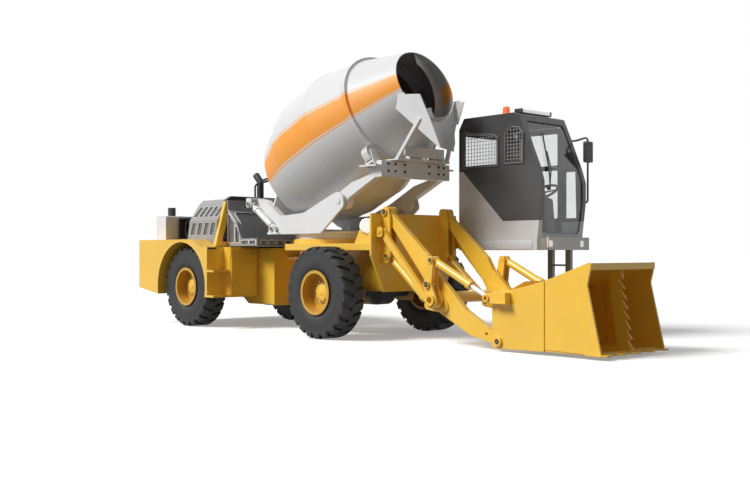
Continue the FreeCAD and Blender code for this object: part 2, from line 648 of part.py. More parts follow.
def make_platform():
    body = new_body("slew_platform_body")
    # upper race of the bearing, the plate, the two cradle walls and the jack lugs
    race_z = "deck_top + 0.3 + slew_ring_height + slew_gap"
    pad(body, "XY", race_z, "platform_z - deck_top - slew_ring_height - slew_gap + 5",
        circle(S.slew_x, 0, S.slew_radius - 30), circle(S.slew_x, 0, S.slew_bore_radius))
    half = S.jack_plane + 52
    pad(body, "XY", "platform_z", "platform_thick", outline(
        (-1450, -half, 30), (-1230, -half, 30), (-1200, -S.cradle_in - S.cradle_thick),
        (-390, -S.cradle_in - S.cradle_thick, 30), (-150, -350, 200), (-150, 350, 200),
        (-390, S.cradle_in + S.cradle_thick, 30), (-1200, S.cradle_in + S.cradle_thick), (-1230, half, 30),
        (-1450, half, 30)))
    z0 = S.platform_z + 5
    wall = outline((-1235, z0), (-390, z0), (S.tilt_pivot_x + 110, S.tilt_pivot_z - 60, 60),
                   (S.tilt_pivot_x + 50, S.tilt_pivot_z + 140, 110), (-720, 1495, 120), (-1235, 1465, 30))
    for start in ("cradle_in", "-cradle_in - cradle_thick"):
        pad(body, "XZ", start, "cradle_thick", wall)
    pad_mid(body, "XZ", "2 * cradle_in + 20", outline((-1000, z0), (-560, z0), (-560, 1290), (-1000, 1290)))
    # jack lugs, each side of the jack's lower eye, with their pins
    jack = outline((S.jack_base_x - 75, z0), (S.jack_base_x + 85, z0), (S.jack_base_x + 55, S.jack_base_z
                                                                        + 50, 48),
                   (S.jack_base_x - 55, S.jack_base_z + 50, 48))
    for y in (S.jack_plane - 49, S.jack_plane + 31):
        pad(body, "XZ", "%g" % y, "18", jack)
        pad(body, "XZ", "%g" % (-y - 18), "18", jack)
    for y in (S.jack_plane - 55, -S.jack_plane - 55):
        pad(body, "XZ", "%g" % y, "110", circle(S.jack_base_x, S.jack_base_z, 22))
    # tilt pivot pins, out of the cradle walls into the tilting frame
    for y in (S.frame_beam_in + 20, -S.cradle_in - S.cradle_thick - 8):
        pad(body, "XZ", "%g" % y, "%g" % (S.cradle_in + S.cradle_thick + 8 - S.frame_beam_in - 20),
            circle(S.tilt_pivot_x, S.tilt_pivot_z, 40))
    return node("slew_platform", body)


make_platform()


# ---------------------------------------------------------------- drum and its tilting frame
TILT = math.radians(S.drum_angle)
ALONG = Vector(math.cos(TILT), 0, math.sin(TILT))
DOWN = Vector(math.sin(TILT), 0, -math.cos(TILT))
MOUTH = Vector(S.mouth_x, 0, S.mouth_z)


def make_drum():
    body = new_body("drum_body")
    w = S.drum_wall
    stations = [(0, S.mouth_radius), (S.ring_s, S.ring_radius), (S.seam_s, S.seam_radius),
                (S.barrel_s, S.barrel_radius), (S.shoulder_s, S.shoulder_radius), (S.end_s, S.end_radius),
                (S.end_s + 0.62 * S.head_depth, 0.72 * S.end_radius), (S.end_s + 0.93 * S.head_depth,
                                                                       0.37 * S.end_radius)]
    outer = [(-s, r) for s, r in stations] + [(-S.end_s - S.head_depth, 0)]
    inner = [(-s, r - w) for s, r in stations[:-2]]
    inner += [(-s + w, r - w) for s, r in stations[-2:]] + [(-S.end_s - S.head_depth + w, 0)]
    turn(body, "XZ", outline(*(outer + inner[::-1])))
    half = S.ring_width / 2
    slope = (S.ring_radius - S.mouth_radius) / S.ring_s
    turn(body, "XZ", outline((-S.ring_s - half, S.ring_radius - 4), (-S.ring_s + half,
                                                                     S.ring_radius - slope * half - 4),
                             (-S.ring_s + half, S.ring_radius + S.ring_proud), (-S.ring_s - half,
                                 S.ring_radius + S.ring_proud)))
    body.Placement = Placement(MOUTH, Rotation(Vector(0, 1, 0), -S.drum_angle))
    return node("drum_shell", body)


make_drum()


def make_blades():
    """Two spiral blades inside the front cone."""
    cone = math.degrees(math.atan((S.ring_radius - S.mouth_radius) / S.ring_s))
    start_radius = S.mouth_radius - S.drum_wall + 15 * math.tan(math.radians(cone)) - 0.8
    blades = []
    for turned in (0, 180):
        helix = Part.makeHelix(900, 600, start_radius, cone)
        profile = Part.makePolygon([Vector(start_radius - 150, 0, 0), Vector(start_radius, 0, 0),
                                    Vector(start_radius, 0, 8), Vector(start_radius - 150, 0, 8),
                                    Vector(start_radius - 150, 0, 0)])
        sweep = Part.Wire(helix.Edges).makePipeShell([profile], True, True)
        blade = doc.addObject("Part::Feature", "Blade")
        blade.Shape = sweep
        flip = Rotation(Vector(0, 1, 0), -90 - S.drum_angle)
        blade.Placement = Placement(MOUTH - ALONG * 15, flip.multiply(Rotation(Vector(0, 0, 1), turned)))
        blades.append(blade)
    return node("drum_blades", *blades)


make_blades()


def make_tilt_frame():
    body = new_body("tilt_frame_body")
    px, pz = S.tilt_pivot_x, S.tilt_pivot_z
    x1, low, high = S.front_beam_x, S.front_beam_low, S.front_beam_high
    beam = outline((x1, low), (x1, high), (x1 - 85, high), (x1 - 92, high - 125), (100, 1830),
                   (-330, 1620, 200),
                   (-745, 1475, 200), (-1300, 1475, 120), (-1600, 1680, 120), (-1905, 1735, 30),
                   (-1905, 1590, 30),
                   (-1620, 1500, 120), (-1360, 1345, 120), (-700, 1340, 200), (px - 100, pz - 70, 150),
                   (520, low))
    for start in ("frame_beam_in", "-frame_beam_in - frame_beam_thick"):
        pad(body, "XZ", start, "frame_beam_thick", beam)
        pad(body, "XZ", start, "frame_beam_thick", circle(px, pz, 100))
    wide = S.frame_beam_in + 20
    pad(body, "YZ", "front_beam_x - 85", "85", outline((-wide, low), (wide, low), (wide, high),
                                                       (-wide, high)))
    pad(body, "YZ", "-1900", "90", outline((-wide, 1600), (wide, 1600), (wide, 1725), (-wide, 1725)))
    # ears outboard of the jacks' upper eyes, hung from a shelf above them
    ear = outline((S.jack_eye_x - 55, S.jack_eye_z - 50, 45), (S.jack_eye_x + 55, S.jack_eye_z - 50, 45),
                  (S.jack_eye_x + 55, S.jack_eye_z + 80), (S.jack_eye_x - 55, S.jack_eye_z + 80))
    for y in (S.jack_plane + 31, -S.jack_plane - 49):
        pad(body, "XZ", "%g" % y, "18", ear)
    for y in (S.jack_plane + 40, -S.jack_plane - 57):
        pad(body, "XZ", "%g" % y, "17", circle(S.jack_eye_x, S.jack_eye_z, 30))
    for side in (1, -1):
        pad(body, "XY", "jack_eye_z + 58", "22", outline(
            (S.jack_eye_x - 55, side * (S.frame_beam_in + 5)), (S.jack_eye_x + 55, side * (S.frame_beam_in
                + 5)),
            (S.jack_eye_x + 55, side * (S.jack_plane + 49)), (S.jack_eye_x - 55, side * (S.jack_plane
                + 49))))
        # shelf and gusset under each support roller
        pad(body, "XY", "front_beam_high - 70", "20", outline(
            (330, side * 480), (S.front_beam_x - 10, side * 480), (S.front_beam_x - 10, side * 640),
                                                              (330, side * 640)))
        pad(body, "XZ", "%g" % (520 if side > 0 else -540), "20", outline(
            (350, S.front_beam_high - 60), (S.front_beam_x - 60, S.front_beam_high - 60),
                (S.front_beam_x - 95, 1915),
            (400, 1880)))
    pocket_mid(body, "XZ", "3 * cradle_in", circle(px, pz, 40.6))
    # drive pedestal, square to the drum's axis
    post = new_body("pedestal_body")
    pad(post, "YZ", "", "30", outline((-190, 190, 60), (-555, -440), (-555, -520), (555, -520),
                                      (555, -440), (190, 190, 60)),
        circle(0, 0, 130.3))
    back = S.end_s + S.head_depth + 75
    post.Placement = Placement(MOUTH - ALONG * back, Rotation(Vector(0, 1, 0), -S.drum_angle))
    # roller forks
    reach = S.ring_radius + S.ring_proud + S.roller_radius + 0.3
    forks = []
    for side in (1, -1):
        fork = new_body("fork_body")
        near = S.roller_width / 2 + 6
        for start in (near, -near - 14):
            pad(fork, "YZ", "%g" % start, "14", outline((-48, -160), (48, -160), (40, 35, 34),
                                                        (-40, 35, 34)))
        pad(fork, "XY", "-128", "22", outline((-near - 14, -48), (near + 14, -48), (near + 14, 48),
                                              (-near - 14, 48)))
        pad_mid(fork, "YZ", "%g" % (2 * near + 24), circle(0, 0, 20))
        angle = math.radians(S.roller_angle)
        off = DOWN * (math.cos(angle) * reach) + Vector(0, side * math.sin(angle) * reach, 0)
        fork.Placement = Placement(MOUTH - ALONG * S.ring_s + off, Rotation(Vector(0, 1, 0), -S.drum_angle))
        forks.append(fork)
    return node("tilt_frame", body, post, *forks, fused=True)


make_tilt_frame()


def make_rollers():
    reach = S.ring_radius + S.ring_proud + S.roller_radius + 0.3
    for label, side in (("support_roller_left", 1), ("support_roller_right", -1)):
        body = new_body(label + "_body")
        half = S.roller_width / 2
        turn(body, "XZ", outline((-half, 20.8), (half, 20.8), (half, S.roller_radius - 4),
                                 (half - 4, S.roller_radius),
                                 (-half + 4, S.roller_radius), (-half, S.roller_radius - 4)))
        angle = math.radians(S.roller_angle)
        off = DOWN * (math.cos(angle) * reach) + Vector(0, side * math.sin(angle) * reach, 0)
        body.Placement = Placement(MOUTH - ALONG * S.ring_s + off, Rotation(Vector(0, 1, 0), -S.drum_angle))
        node(label, body)


make_rollers()


def make_drum_drive():
    body = new_body("drum_drive_body")
    start = -S.end_s - S.head_depth - 6
    turn(body, "XZ", outline((start, 0), (start, 150), (start - 25, 150), (start - 25, 185),
                             (start - 39, 185),
                             (start - 39, 130), (start - 99, 130), (start - 99, 170), (start - 190, 170),
                             (start - 220, 140), (start - 240, 95), (start - 360, 95), (start - 360, 0)))
    body.Placement = Placement(MOUTH, Rotation(Vector(0, 1, 0), -S.drum_angle))
    return node("drum_drive", body)


make_drum_drive()


def make_drum_hoses():
    """Pressure hoses from the tilting frame's tail over to the drum motor."""
    motor = MOUTH - ALONG * (S.end_s + S.head_depth + 6 + 330)
    tail_z = 1735.3
    hoses = []
    for x, lift, start in ((S.jack_eye_x - 20, 0, -545), (S.jack_eye_x + 25, 45, -505), (S.jack_eye_x + 5,
        20, 525)):
        side = 1 if start > 0 else -1
        hoses.append(tube([(x, start, tail_z), (x, start, 1900 + lift), (x, side * 260, 1985 + lift),
                           (motor.x, side * 180, motor.z), (motor.x, side * 95.5, motor.z)], 13, 45,
                          "DriveHose"))
    return node("drum_hoses", *hoses)


make_drum_hoses()


def make_hopper():
    """Discharge hopper: a funnel under the drum's lip, and the struts that hold it."""
    low = [(780, -400), (1360, -345), (1005, 385), (760, 400)]
    high = [(700, -470), (1130, -450), (1045, 440), (700, 470)]
    low_in, high_in = inset(low, 10), inset(high, 10)

    def funnel(owner, kind, name, lower, upper, from_z=2160, to_z=2810):
        """Loft between an outline low down and one at the top."""
        feature = owner.newObject("PartDesign::" + kind, name)
        feature.Profile = new_sketch(owner, "XY", "", [outline(*lower)])
        feature.Profile[0].AttachmentOffset = Placement(Vector(0, 0, from_z), Rotation())
        top = new_sketch(owner, "XY", "", [outline(*upper)])
        top.AttachmentOffset = Placement(Vector(0, 0, to_z), Rotation())
        feature.Sections = [top]
        feature.Ruled = True
        doc.recompute()

    def strip(inner, back, ahead):
        """Band along the funnel's front, between two distances off its inner face."""
        one, two = Vector(*inner[1], 0), Vector(*inner[2], 0)
        along = (two - one).normalize()
        one, two = one + along * 0.8 * (ahead < 20), two - along * 0.8 * (ahead < 20)
        out = Vector(along.y, -along.x, 0)
        return [tuple((one + out * back)[:2]), tuple((one + out * ahead)[:2]),
                tuple((two + out * ahead)[:2]),
                tuple((two + out * back)[:2])]

    def trim_top(owner):
        """Dipping front edge under the drum's mouth."""
        pocket(owner, "YZ", "900", "700", outline((-500, 3000), (-500, 2500), (-330, 2460), (-140, 2480),
                                                  (25, 2550),
                                                (120, 2640), (150, 2700), (150, 2260), (100, 2190),
                                                  (100, 2000),
                                                (600, 2000), (600, 3000)))

    shell = new_body("hopper_body")
    funnel(shell, "AdditiveLoft", "hopper_outer", low, high)
    funnel(shell, "SubtractiveLoft", "hopper_inner", low_in, high_in, 2159, 2811)
    funnel(shell, "SubtractiveLoft", "hopper_front", strip(low_in, -0.3, 90), strip(high_in, -0.3, 90))
    pocket_mid(shell, "XZ", "1200", outline((1130, 2770), (1600, 1600), (1900, 3000), (900, 3000),
                                            (900, 2790)))
    # side walls end along a line that falls to the front; the back is open to the drum
    pocket_mid(shell, "XZ", "1200", outline((500, 2000), (1430, 2000), (1430, 2085), (756, 2637),
                                            (690, 2650), (500, 2900)))
    chute = new_body("chute_body")
    pad_mid(chute, "XZ", "1000", outline((764, 2636), (1080, 2377), (1080, 2392), (764, 2651)))
    funnel_core = new_body("chute_limit_body")
    limit_low, limit_high = ([inset(loop, 9)[0], inset(loop, 11)[1], inset(loop, 11)[2], inset(loop, 9)[3]]
                             for loop in (low, high))
    funnel(funnel_core, "AdditiveLoft", "chute_limit", limit_low, limit_high)
    floor = doc.addObject("Part::Common", "ChuteFloor")
    floor.Base, floor.Tool = chute, funnel_core
    joint_walls = joined("HopperWalls", shell, floor)
    far_gap = new_body("hopper_far_gap_body")
    pad(far_gap, "XZ", "-600", "450", outline((990, 2830), (984, 2777), (900, 2507), (880, 2300),
                                              (1500, 2300), (1500, 2830)))
    walls = doc.addObject("Part::Cut", "HopperOpenFarSide")
    walls.Base, walls.Tool = joint_walls, far_gap

    cone = doc.addObject("Part::Cone", "DrumClearance")
    slope = (S.ring_radius - S.mouth_radius) / S.ring_s
    cone.Radius1 = S.mouth_radius + slope * 900 + 30
    cone.Radius2 = S.mouth_radius + 30 - slope * 12
    cone.Height = 912
    cone.Placement = Placement(MOUTH - ALONG * 900, Rotation(Vector(0, 1, 0), 90 - S.drum_angle))
    trimmed = doc.addObject("Part::Cut", "HopperTrimmed")
    trimmed.Base, trimmed.Tool = walls, cone
    apron = new_body("hopper_apron_body")
    funnel(apron, "AdditiveLoft", "apron_plate", strip(low_in, 0.3, 9), strip(high_in, 0.3, 9))
    trim_top(apron)
    apron_cut = doc.addObject("Part::Cut", "ApronTrimmed")
    apron_cut.Base, apron_cut.Tool = apron, cone
    node("hopper_apron", apron_cut)
    frame = new_body("hopper_frame_body")
    pad(frame, "XZ", "400", "24", outline((1118, 2497), (1082, 2522), (690, 2062.3), (745, 2062.3)))
    pad(frame, "XZ", "-424", "24", outline((885, 2562), (848, 2580), (690, 2062.3), (745, 2062.3)))
    pad(frame, "YZ", "700", "60", outline((-424, 2062.3), (424, 2062.3), (424, 2090), (-424, 2090)))
    pad(frame, "YZ", "780", "20", outline((-350, 2125, 20), (-330, 2105), (290, 2105), (290, 2220),
                                          (-350, 2220)))
    for y in (-300, -20, 240):
        pad(frame, "XZ", "%g" % y, "16", outline((700, 2062.3), (770, 2062.3), (785, 2200), (740, 2200)))
    pad(frame, "XY", "2062.3", "16", outline((545, -424), (760, -424), (760, 424), (545, 424)))
    return node("discharge_hopper", trimmed, frame, fused=True)


make_hopper()


# ---------------------------------------------------------------- cylinders
def make_cylinder(barrel_label, rod_label, base, eye, plane, barrel_length, radius, rod_length, neck,
                  rod_radius=25,
                  eye_width=48, pin=22, rod_eye=44):
    """Closed cylinder between two pins, a mirrored pair: barrel from the base pin, rod to the eye."""
    run = math.hypot(eye[0] - base[0], eye[1] - base[1])
    aim = Rotation(Vector(0, 1, 0), -math.degrees(math.atan2(eye[1] - base[1], eye[0] - base[0])))
    start = Placement(Vector(base[0], -plane, base[1]), aim)
    barrel = new_body(barrel_label + "_body")
    pad_mid(barrel, "XZ", "%g" % eye_width, strap((0, 0, radius), (neck + 5, 0, radius - 12)))
    turn(barrel, "XZ", outline((neck, 0), (barrel_length - 40, 0), (barrel_length - 40, radius),
                               (neck, radius)))
    turn(barrel, "XZ", outline((barrel_length - 60, rod_radius - 5), (barrel_length, rod_radius - 5),
                               (barrel_length, radius + 3), (barrel_length - 4, radius + 7),
                               (barrel_length - 60, radius + 7)))
    doc.recompute()
    turn(barrel, "XZ", outline((radius + 14, 0), (barrel_length + 1, 0), (barrel_length + 1, rod_radius
        + 0.8),
                               (radius + 14, rod_radius + 0.8)), cutting=True)
    pocket_mid(barrel, "XZ", "%g" % (eye_width + 90), circle(0, 0, pin + 0.6))
    barrel.Placement = start
    rod = new_body(rod_label + "_body")
    turn(rod, "XZ", outline((run - rod_length, 0), (run - 20, 0), (run - 20, rod_radius),
                            (run - rod_length, rod_radius)))
    pad_mid(rod, "XZ", "%g" % eye_width, circle(run, 0, rod_eye))
    pocket_mid(rod, "XZ", "%g" % (eye_width + 90), circle(run, 0, pin + 0.6))
    rod.Placement = start
    node(barrel_label, barrel, mirrored=True)
    node(rod_label, rod, mirrored=True)


make_cylinder("lift_barrels", "lift_rods", (S.lift_base_x, S.lift_base_z), (S.lift_eye_x, S.lift_eye_z),
              470, 740, 44, 745, 125)
make_cylinder("bucket_tilt_barrels", "bucket_tilt_rods", (S.tilt_base_x, S.tilt_base_z), (S.tilt_eye_x,
    S.tilt_eye_z),
              S.outer_plane, 610, 44, 680, 78)
make_cylinder("drum_jack_barrels", "drum_jack_rods", (S.jack_base_x, S.jack_base_z), (S.jack_eye_x,
    S.jack_eye_z),
              S.jack_plane, 505, 40, 530, 92)


# ---------------------------------------------------------------- loader
def make_boom():
    body = new_body("boom_arms_body")
    px, pz = S.boom_pivot_x, S.boom_pivot_z
    bx, bz = S.crank_pivot_x, S.crank_pivot_z
    kx, kz = S.bucket_pivot_x, S.bucket_pivot_z
    sx, sz = S.lift_eye_x, S.lift_eye_z
    arm = outline((px + 15, pz - 90, 60), (1240, 730, 60), (1325, 600, 40), (1420, 545, 60),
                  (1465, 420, 40), (1500, 347, 40),
                  (1650, 278, 100), (1940, 135, 200), (2245, 71, 100), (kx + 10, kz - 68, 60),
                  (kx + 68, kz, 50),
                  (kx + 10, kz + 68, 50), (2245, 195, 60), (2080, 290, 200), (1880, 396, 200),
                  (1650, 610, 150), (bx, 790, 60),
                  (1340, 950, 60), (745, 1440), (px + 48, pz + 62, 50), (px - 58, pz + 62, 52),
                  (px - 58, pz - 66, 55))
    for start in ("arm_in", "-arm_in - arm_thick"):
        pad(body, "XZ", start, "arm_thick", arm)
    pad_mid(body, "XZ", "2 * arm_in + 10", circle(S.cross_tube_x + 60, S.cross_tube_z + 20,
                                                  S.cross_tube_radius))
    lug = strap((sx, sz, 52), (1560, 420, 70), (1480, 560, 60), (1400, 590, 45))
    for start in ("arm_in - 20", "arm_in + arm_thick", "-arm_in", "-arm_in - arm_thick - 18"):
        pad(body, "XZ", start, "20" if "- 20" in start or start == "-arm_in" else "18", lug)
    # crank pins with their spacer washers
    for y in (S.arm_in + S.arm_thick - 10, -S.outer_plane - 68):
        pad(body, "XZ", "%g" % y, "%g" % (S.outer_plane + 68 - S.arm_in - S.arm_thick + 10), circle(bx, bz,
            30))
    for y in (S.arm_in + S.arm_thick - 5, -S.arm_in - S.arm_thick - 24):
        pad(body, "XZ", "%g" % y, "29", circle(bx, bz, 52))
    pocket_mid(body, "XZ", "1200", circle(px, pz, 30.6), circle(kx, kz, 30.6), circle(2165, 165, 18))
    pocket_mid(body, "XZ", "1040", circle(sx, sz, 22.6))
    return node("boom_arms", body)


make_boom()


def make_cranks():
    body = new_body("bell_cranks_body")
    tx, tz = S.tilt_base_x, S.tilt_base_z
    bx, bz = S.crank_pivot_x, S.crank_pivot_z
    lx, lz = S.link_rear_x + bx - S.boom_pivot_x, bz - S.link_drop
    upper = strap((bx, bz, 55), (tx, tz, 45))
    lower = strap((lx, lz, 42), (lx + 40, lz + 50, 80), (bx, bz, 55))
    half = S.link_thick / 2
    for start in (S.outer_plane + half + 6, S.outer_plane - half - 6 - S.crank_plate):
        for shape in (upper, lower):
            pad(body, "XZ", "%g" % start, "crank_plate", shape)
    span = S.link_thick + 22
    pad_mid(body, "XZ", "%g" % span, circle(bx, bz, 50), at="outer_plane")
    pad_mid(body, "XZ", "%g" % (span + 40), circle(tx, tz, 22), at="outer_plane")
    pad_mid(body, "XZ", "%g" % (span + 40), circle(lx, lz, 18), at="outer_plane")
    pad(body, "XZ", "%g" % (S.outer_plane + half + 4 + S.crank_plate), "26", circle(lx + 35, lz + 60, 64))
    pocket(body, "XZ", "%g" % (S.outer_plane + half - 1), "90", circle(lx + 35, lz + 60, 36))
    pocket_mid(body, "XZ", "260", circle(bx, bz, 30.6), at="outer_plane")
    return node("bell_cranks", body, mirrored=True)


make_cranks()


def make_level_links():
    body = new_body("level_links_body")
    ax, az = S.link_rear_x, S.boom_pivot_z - S.link_drop
    bx, bz = S.crank_pivot_x, S.crank_pivot_z
    lx, lz = ax + bx - S.boom_pivot_x, bz - S.link_drop
    pad_mid(body, "XZ", "link_thick", strap((ax, az, 38), (lx, lz, 32)), at="outer_plane")
    pocket_mid(body, "XZ", "link_thick + 10", circle(ax, az, 22.6), circle(lx, lz, 18.8), at="outer_plane")
    return node("level_links", body, mirrored=True)


make_level_links()


def make_bucket_pins():
    body = new_body("bucket_pins_body")
    pad(body, "XZ", "%g" % (S.arm_in - 55), "%g" % (S.bucket_half_width + 20 - S.arm_in + 55),
        circle(S.bucket_pivot_x, S.bucket_pivot_z, 30))
    return node("bucket_pins", body, mirrored=True)


make_bucket_pins()


def make_bucket():
    body = new_body("bucket_body")
    w, t = S.bucket_half_width, S.bucket_plate
    low, back, rear, front = S.bucket_bottom, S.bucket_back_x, S.bucket_rear_x, S.bucket_front_x
    lip_x, lip_z = S.bucket_lip_x, S.bucket_lip_z
    skin = outline((lip_x, lip_z), (lip_x - 25, lip_z), (3265, 826), (2907, 705), (2600, 648, 60),
                   (back, 600, 60),
                   (back, 160, 80), (back + 110, low, 60), (front - 60, low), (front - 60, low + 22),
                   (back + 118, low + 22, 50), (back + 22, 168, 60), (back + 22, 590, 40), (2606, 626, 40),
                   (2907, 682), (3270, 804), (lip_x - 20, lip_z - 65), (lip_x, lip_z - 65))
    pad_mid(body, "XZ", "2 * bucket_half_width - 30", skin)
    rear_cheek = outline((rear, low - 8, 20), (2950, low - 2), (2950, 728), (2907, 717), (2695, 663),
                         (2530, 628), (rear, 611, 15))
    front_cheek = outline((2930, low + 18), (front, low + 4), (3448, 701, 60), (lip_x, lip_z - 26, 20),
                          (3471, lip_z + 8, 12),
                          (3265, 838), (2930, 722))
    for side in (1, -1):
        pad(body, "XZ", "%g" % (w - t if side > 0 else -w), "bucket_plate", rear_cheek)
        pad(body, "XZ", "%g" % (w - t - 10 if side > 0 else -w + 10), "bucket_plate", front_cheek)
    # arched guard on the back wall
    pad(body, "YZ", "bucket_back_x + 1", "20", outline((-w + 12, 560), (w - 12, 560), (w - 12, 625),
                                                       (300, 710, 200),
                                                    (-300, 710, 200), (-w + 12, 625)))
    # cutting edge and its rounded teeth
    pad(body, "XY", "bucket_bottom - 4", "bucket_plate", outline((front - 178, -w + 4), (front, -w + 4),
                                                                 (front, w - 4),
                                                                  (front - 178, w - 4)))
    pitch = (2 * w - 130) / (S.tooth_count - 1)
    reach = S.tooth_reach
    for i in range(int(S.tooth_count)):
        y = -w + 65 + i * pitch
        pad(body, "XY", "bucket_bottom - 4", "bucket_plate", outline(
            (front - 60, y - 62), (front - 8, y - 62), (front + reach, y - 30, 24), (front + reach, y + 30,
                24),
            (front - 8, y + 62), (front - 60, y + 62)))
    # serrated bag cutter, from the cutting edge to the lip
    points = []
    steps = 8
    for i in range(steps):
        level = i / steps
        x = 3590 - 135 * level
        z = low + 20 + (lip_z - 70 - low - 20) * level
        points += [(x - 34, z), (x + 14, z + 10)]
    points += [(3458, lip_z - 50), (3300, lip_z - 50), (3420, low + 10), (3592, low + 10)]
    pad_mid(body, "XZ", "14", outline(*points))
    # ears at the bucket pins, rod brackets and pin bosses
    kx, kz = S.bucket_pivot_x, S.bucket_pivot_z
    ex, ez = S.tilt_eye_x, S.tilt_eye_z
    ear = outline((kx - 62, kz - 40, 40), (kx, low, 20), (back + 60, low), (back + 8, 300),
                  (kx + 20, kz + 75, 50), (kx - 62, kz + 45, 50))
    outer = outline((ex - 50, ez - 40, 40), (back + 30, ez - 40), (back + 30, ez + 60), (ex + 40, ez + 60,
        20), (ex - 50, ez + 40, 45))
    for side in (1, -1):
        pad(body, "XZ", "%g" % (S.arm_in - 42 if side > 0 else -S.arm_in + 18), "24", ear)
        pad(body, "XZ", "%g" % (S.outer_plane + 31 if side > 0 else -S.outer_plane - 51), "20", outer)
        pad(body, "XZ", "%g" % (w - 2 if side > 0 else -w - 83), "85", outline((2395, ez - 40),
            (back + 30, ez - 40),
                                                                             (back + 30, ez + 60), (2395,
                                                                                 ez + 60)))
        pad(body, "XZ", "%g" % (w - 2 if side > 0 else -w - 102), "104", outline((2345, ez - 52),
            (back + 45, ez - 52),
                                                                              (back + 45, ez - 38), (2345,
                                                                                  ez - 38)))
        pad(body, "XZ", "%g" % (w - 2 if side > 0 else -w - 26), "28", circle(kx, kz, 52))
        pad(body, "XZ", "%g" % (S.outer_plane + 50 if side > 0 else -S.outer_plane - 69), "19",
            circle(ex, ez, 40))
    pocket_mid(body, "XZ", "1400", circle(kx, kz, 30.6))
    pocket_mid(body, "XZ", "1400", circle(ex, ez, 22.6))
    return node("bucket", body)


make_bucket()


# ---------------------------------------------------------------- cab
CAB = [(S.cab_rear_x, S.cab_floor), (1866, S.cab_floor), (1866, 1145), (1894, S.cab_split), (1923, 1597),
       (1923, 1823),
       (1866, 1996), (1765, 2231), (1692, 2409), (1603, 2604), (1513, S.cab_top), (742, S.cab_top),
       (S.cab_rear_x, 2500)]
REAR_WINDOW = [(725, 2030), (1285, 2030), (1285, 2363), (1200, 2400), (745, 2460), (725, 2430)]
FRONT_WINDOW = [(1392, 2045), (1662, 2045), (1662, 2380), (1600, 2455), (1500, 2470), (1420, 2440),
                (1392, 2390)]
DOOR = (850, 1590, 1110, 2520)
QUARTER_WINDOW = [(1635, 1400), (1815, 1400), (1800, 1985), (1635, 1985)]


def knuckles(name, z, on_door=False):
    """One leaf of a door hinge, with half of its barrel."""
    body = new_body(name)
    x, y = S.door_hinge_x, S.door_hinge_y
    low = z + 50.3 if on_door else z
    reach = 45 if on_door else -45
    pad(body, "XY", "%g" % low, "50", circle(x, y, 13))
    pad(body, "XY", "%g" % low, "50", outline((x, y - 14.7), (x + 17, y - 14.7), (x + 17, y - 16),
                                              (x + reach, y - 16),
                                              (x + reach, y - 6), (x, y + 4))
        if on_door else outline((x + reach, y - 16), (x, y - 16), (x, y + 4), (x + reach, y - 6)))
    return body


def make_cab():
    shell = new_body("cab_shell_body")
    right, left, wall = S.cab_right_y, S.cab_left_y, S.cab_wall
    pad(shell, "XZ", "-cab_left_y", "cab_left_y - cab_right_y", outline(*CAB))
    pocket(shell, "XZ", "-cab_left_y + cab_wall", "cab_left_y - cab_right_y - 2 * cab_wall",
           outline(*inset(CAB, wall)))
    pocket(shell, "XZ", "-cab_right_y - cab_wall - 1", "cab_wall + 2",
           outline(*[(x, z, 14) for x, z in REAR_WINDOW]), outline(*[(x, z, 14) for x, z in FRONT_WINDOW]))
    x1, x2, z1, z2 = DOOR
    pocket(shell, "XZ", "-cab_left_y - 1", "cab_wall + 2", outline((x1, z1, 40), (x2, z1, 40),
                                                                   (x2, z2, 60), (x1, z2, 60)))
    pocket(shell, "YZ", "1400", "700", outline((right + 65, 1215, 60), (left - 65, 1215, 60),
                                               (left - 65, 2530, 60),
                                               (right + 65, 2530, 60)))
    pocket(shell, "YZ", "cab_rear_x - 1", "cab_wall + 2", outline((right + 80, 1750, 40), (left - 60, 1750,
        40),
                                                                  (left - 60, 2440, 40), (right + 80, 2440,
                                                                      40)))
    pocket(shell, "XZ", "-cab_left_y - 1", "cab_wall + 2",
           outline(*[(x, z, 25) for x, z in QUARTER_WINDOW]))
    prism = doc.addObject("Part::Extrusion", "CabSplit")
    face = doc.addObject("Part::Feature", "CabSplitOutline")
    corners = [(600, 900), (2100, 900), (2100, S.cab_split), (1362, S.cab_split), (725, 1984), (600, 1984),
               (600, 900)]
    face.Shape = Part.Face(Part.makePolygon([Vector(x, 600, z) for x, z in corners]))
    prism.Base = face
    prism.Dir = Vector(0, 1100, 0)
    prism.Solid = True
    low = doc.addObject("Part::Common", "CabLow")
    low.Base, low.Tool = shell, prism
    high = doc.addObject("Part::Cut", "CabHigh")
    high.Base, high.Tool = shell, prism
    bumper = new_body("bumper_body")
    pad(bumper, "YZ", "1860", "90", outline((right + 105, 1033), (left + 25, 1033), (left + 25, 1180),
                                            (right + 105, 1180)))
    lamp_holes = [outline((y - 45, 1060), (y + 45, 1060), (y + 45, 1150), (y - 45, 1150)) for y in (847,
        1432)]
    pocket(bumper, "YZ", "1925", "30", *lamp_holes)
    node("cab_lower", low, bumper, knuckles("cab_low_hinge", 1200), fused=True)
    node("cab_upper", high, knuckles("cab_high_hinge", 2250), fused=True)


make_cab()


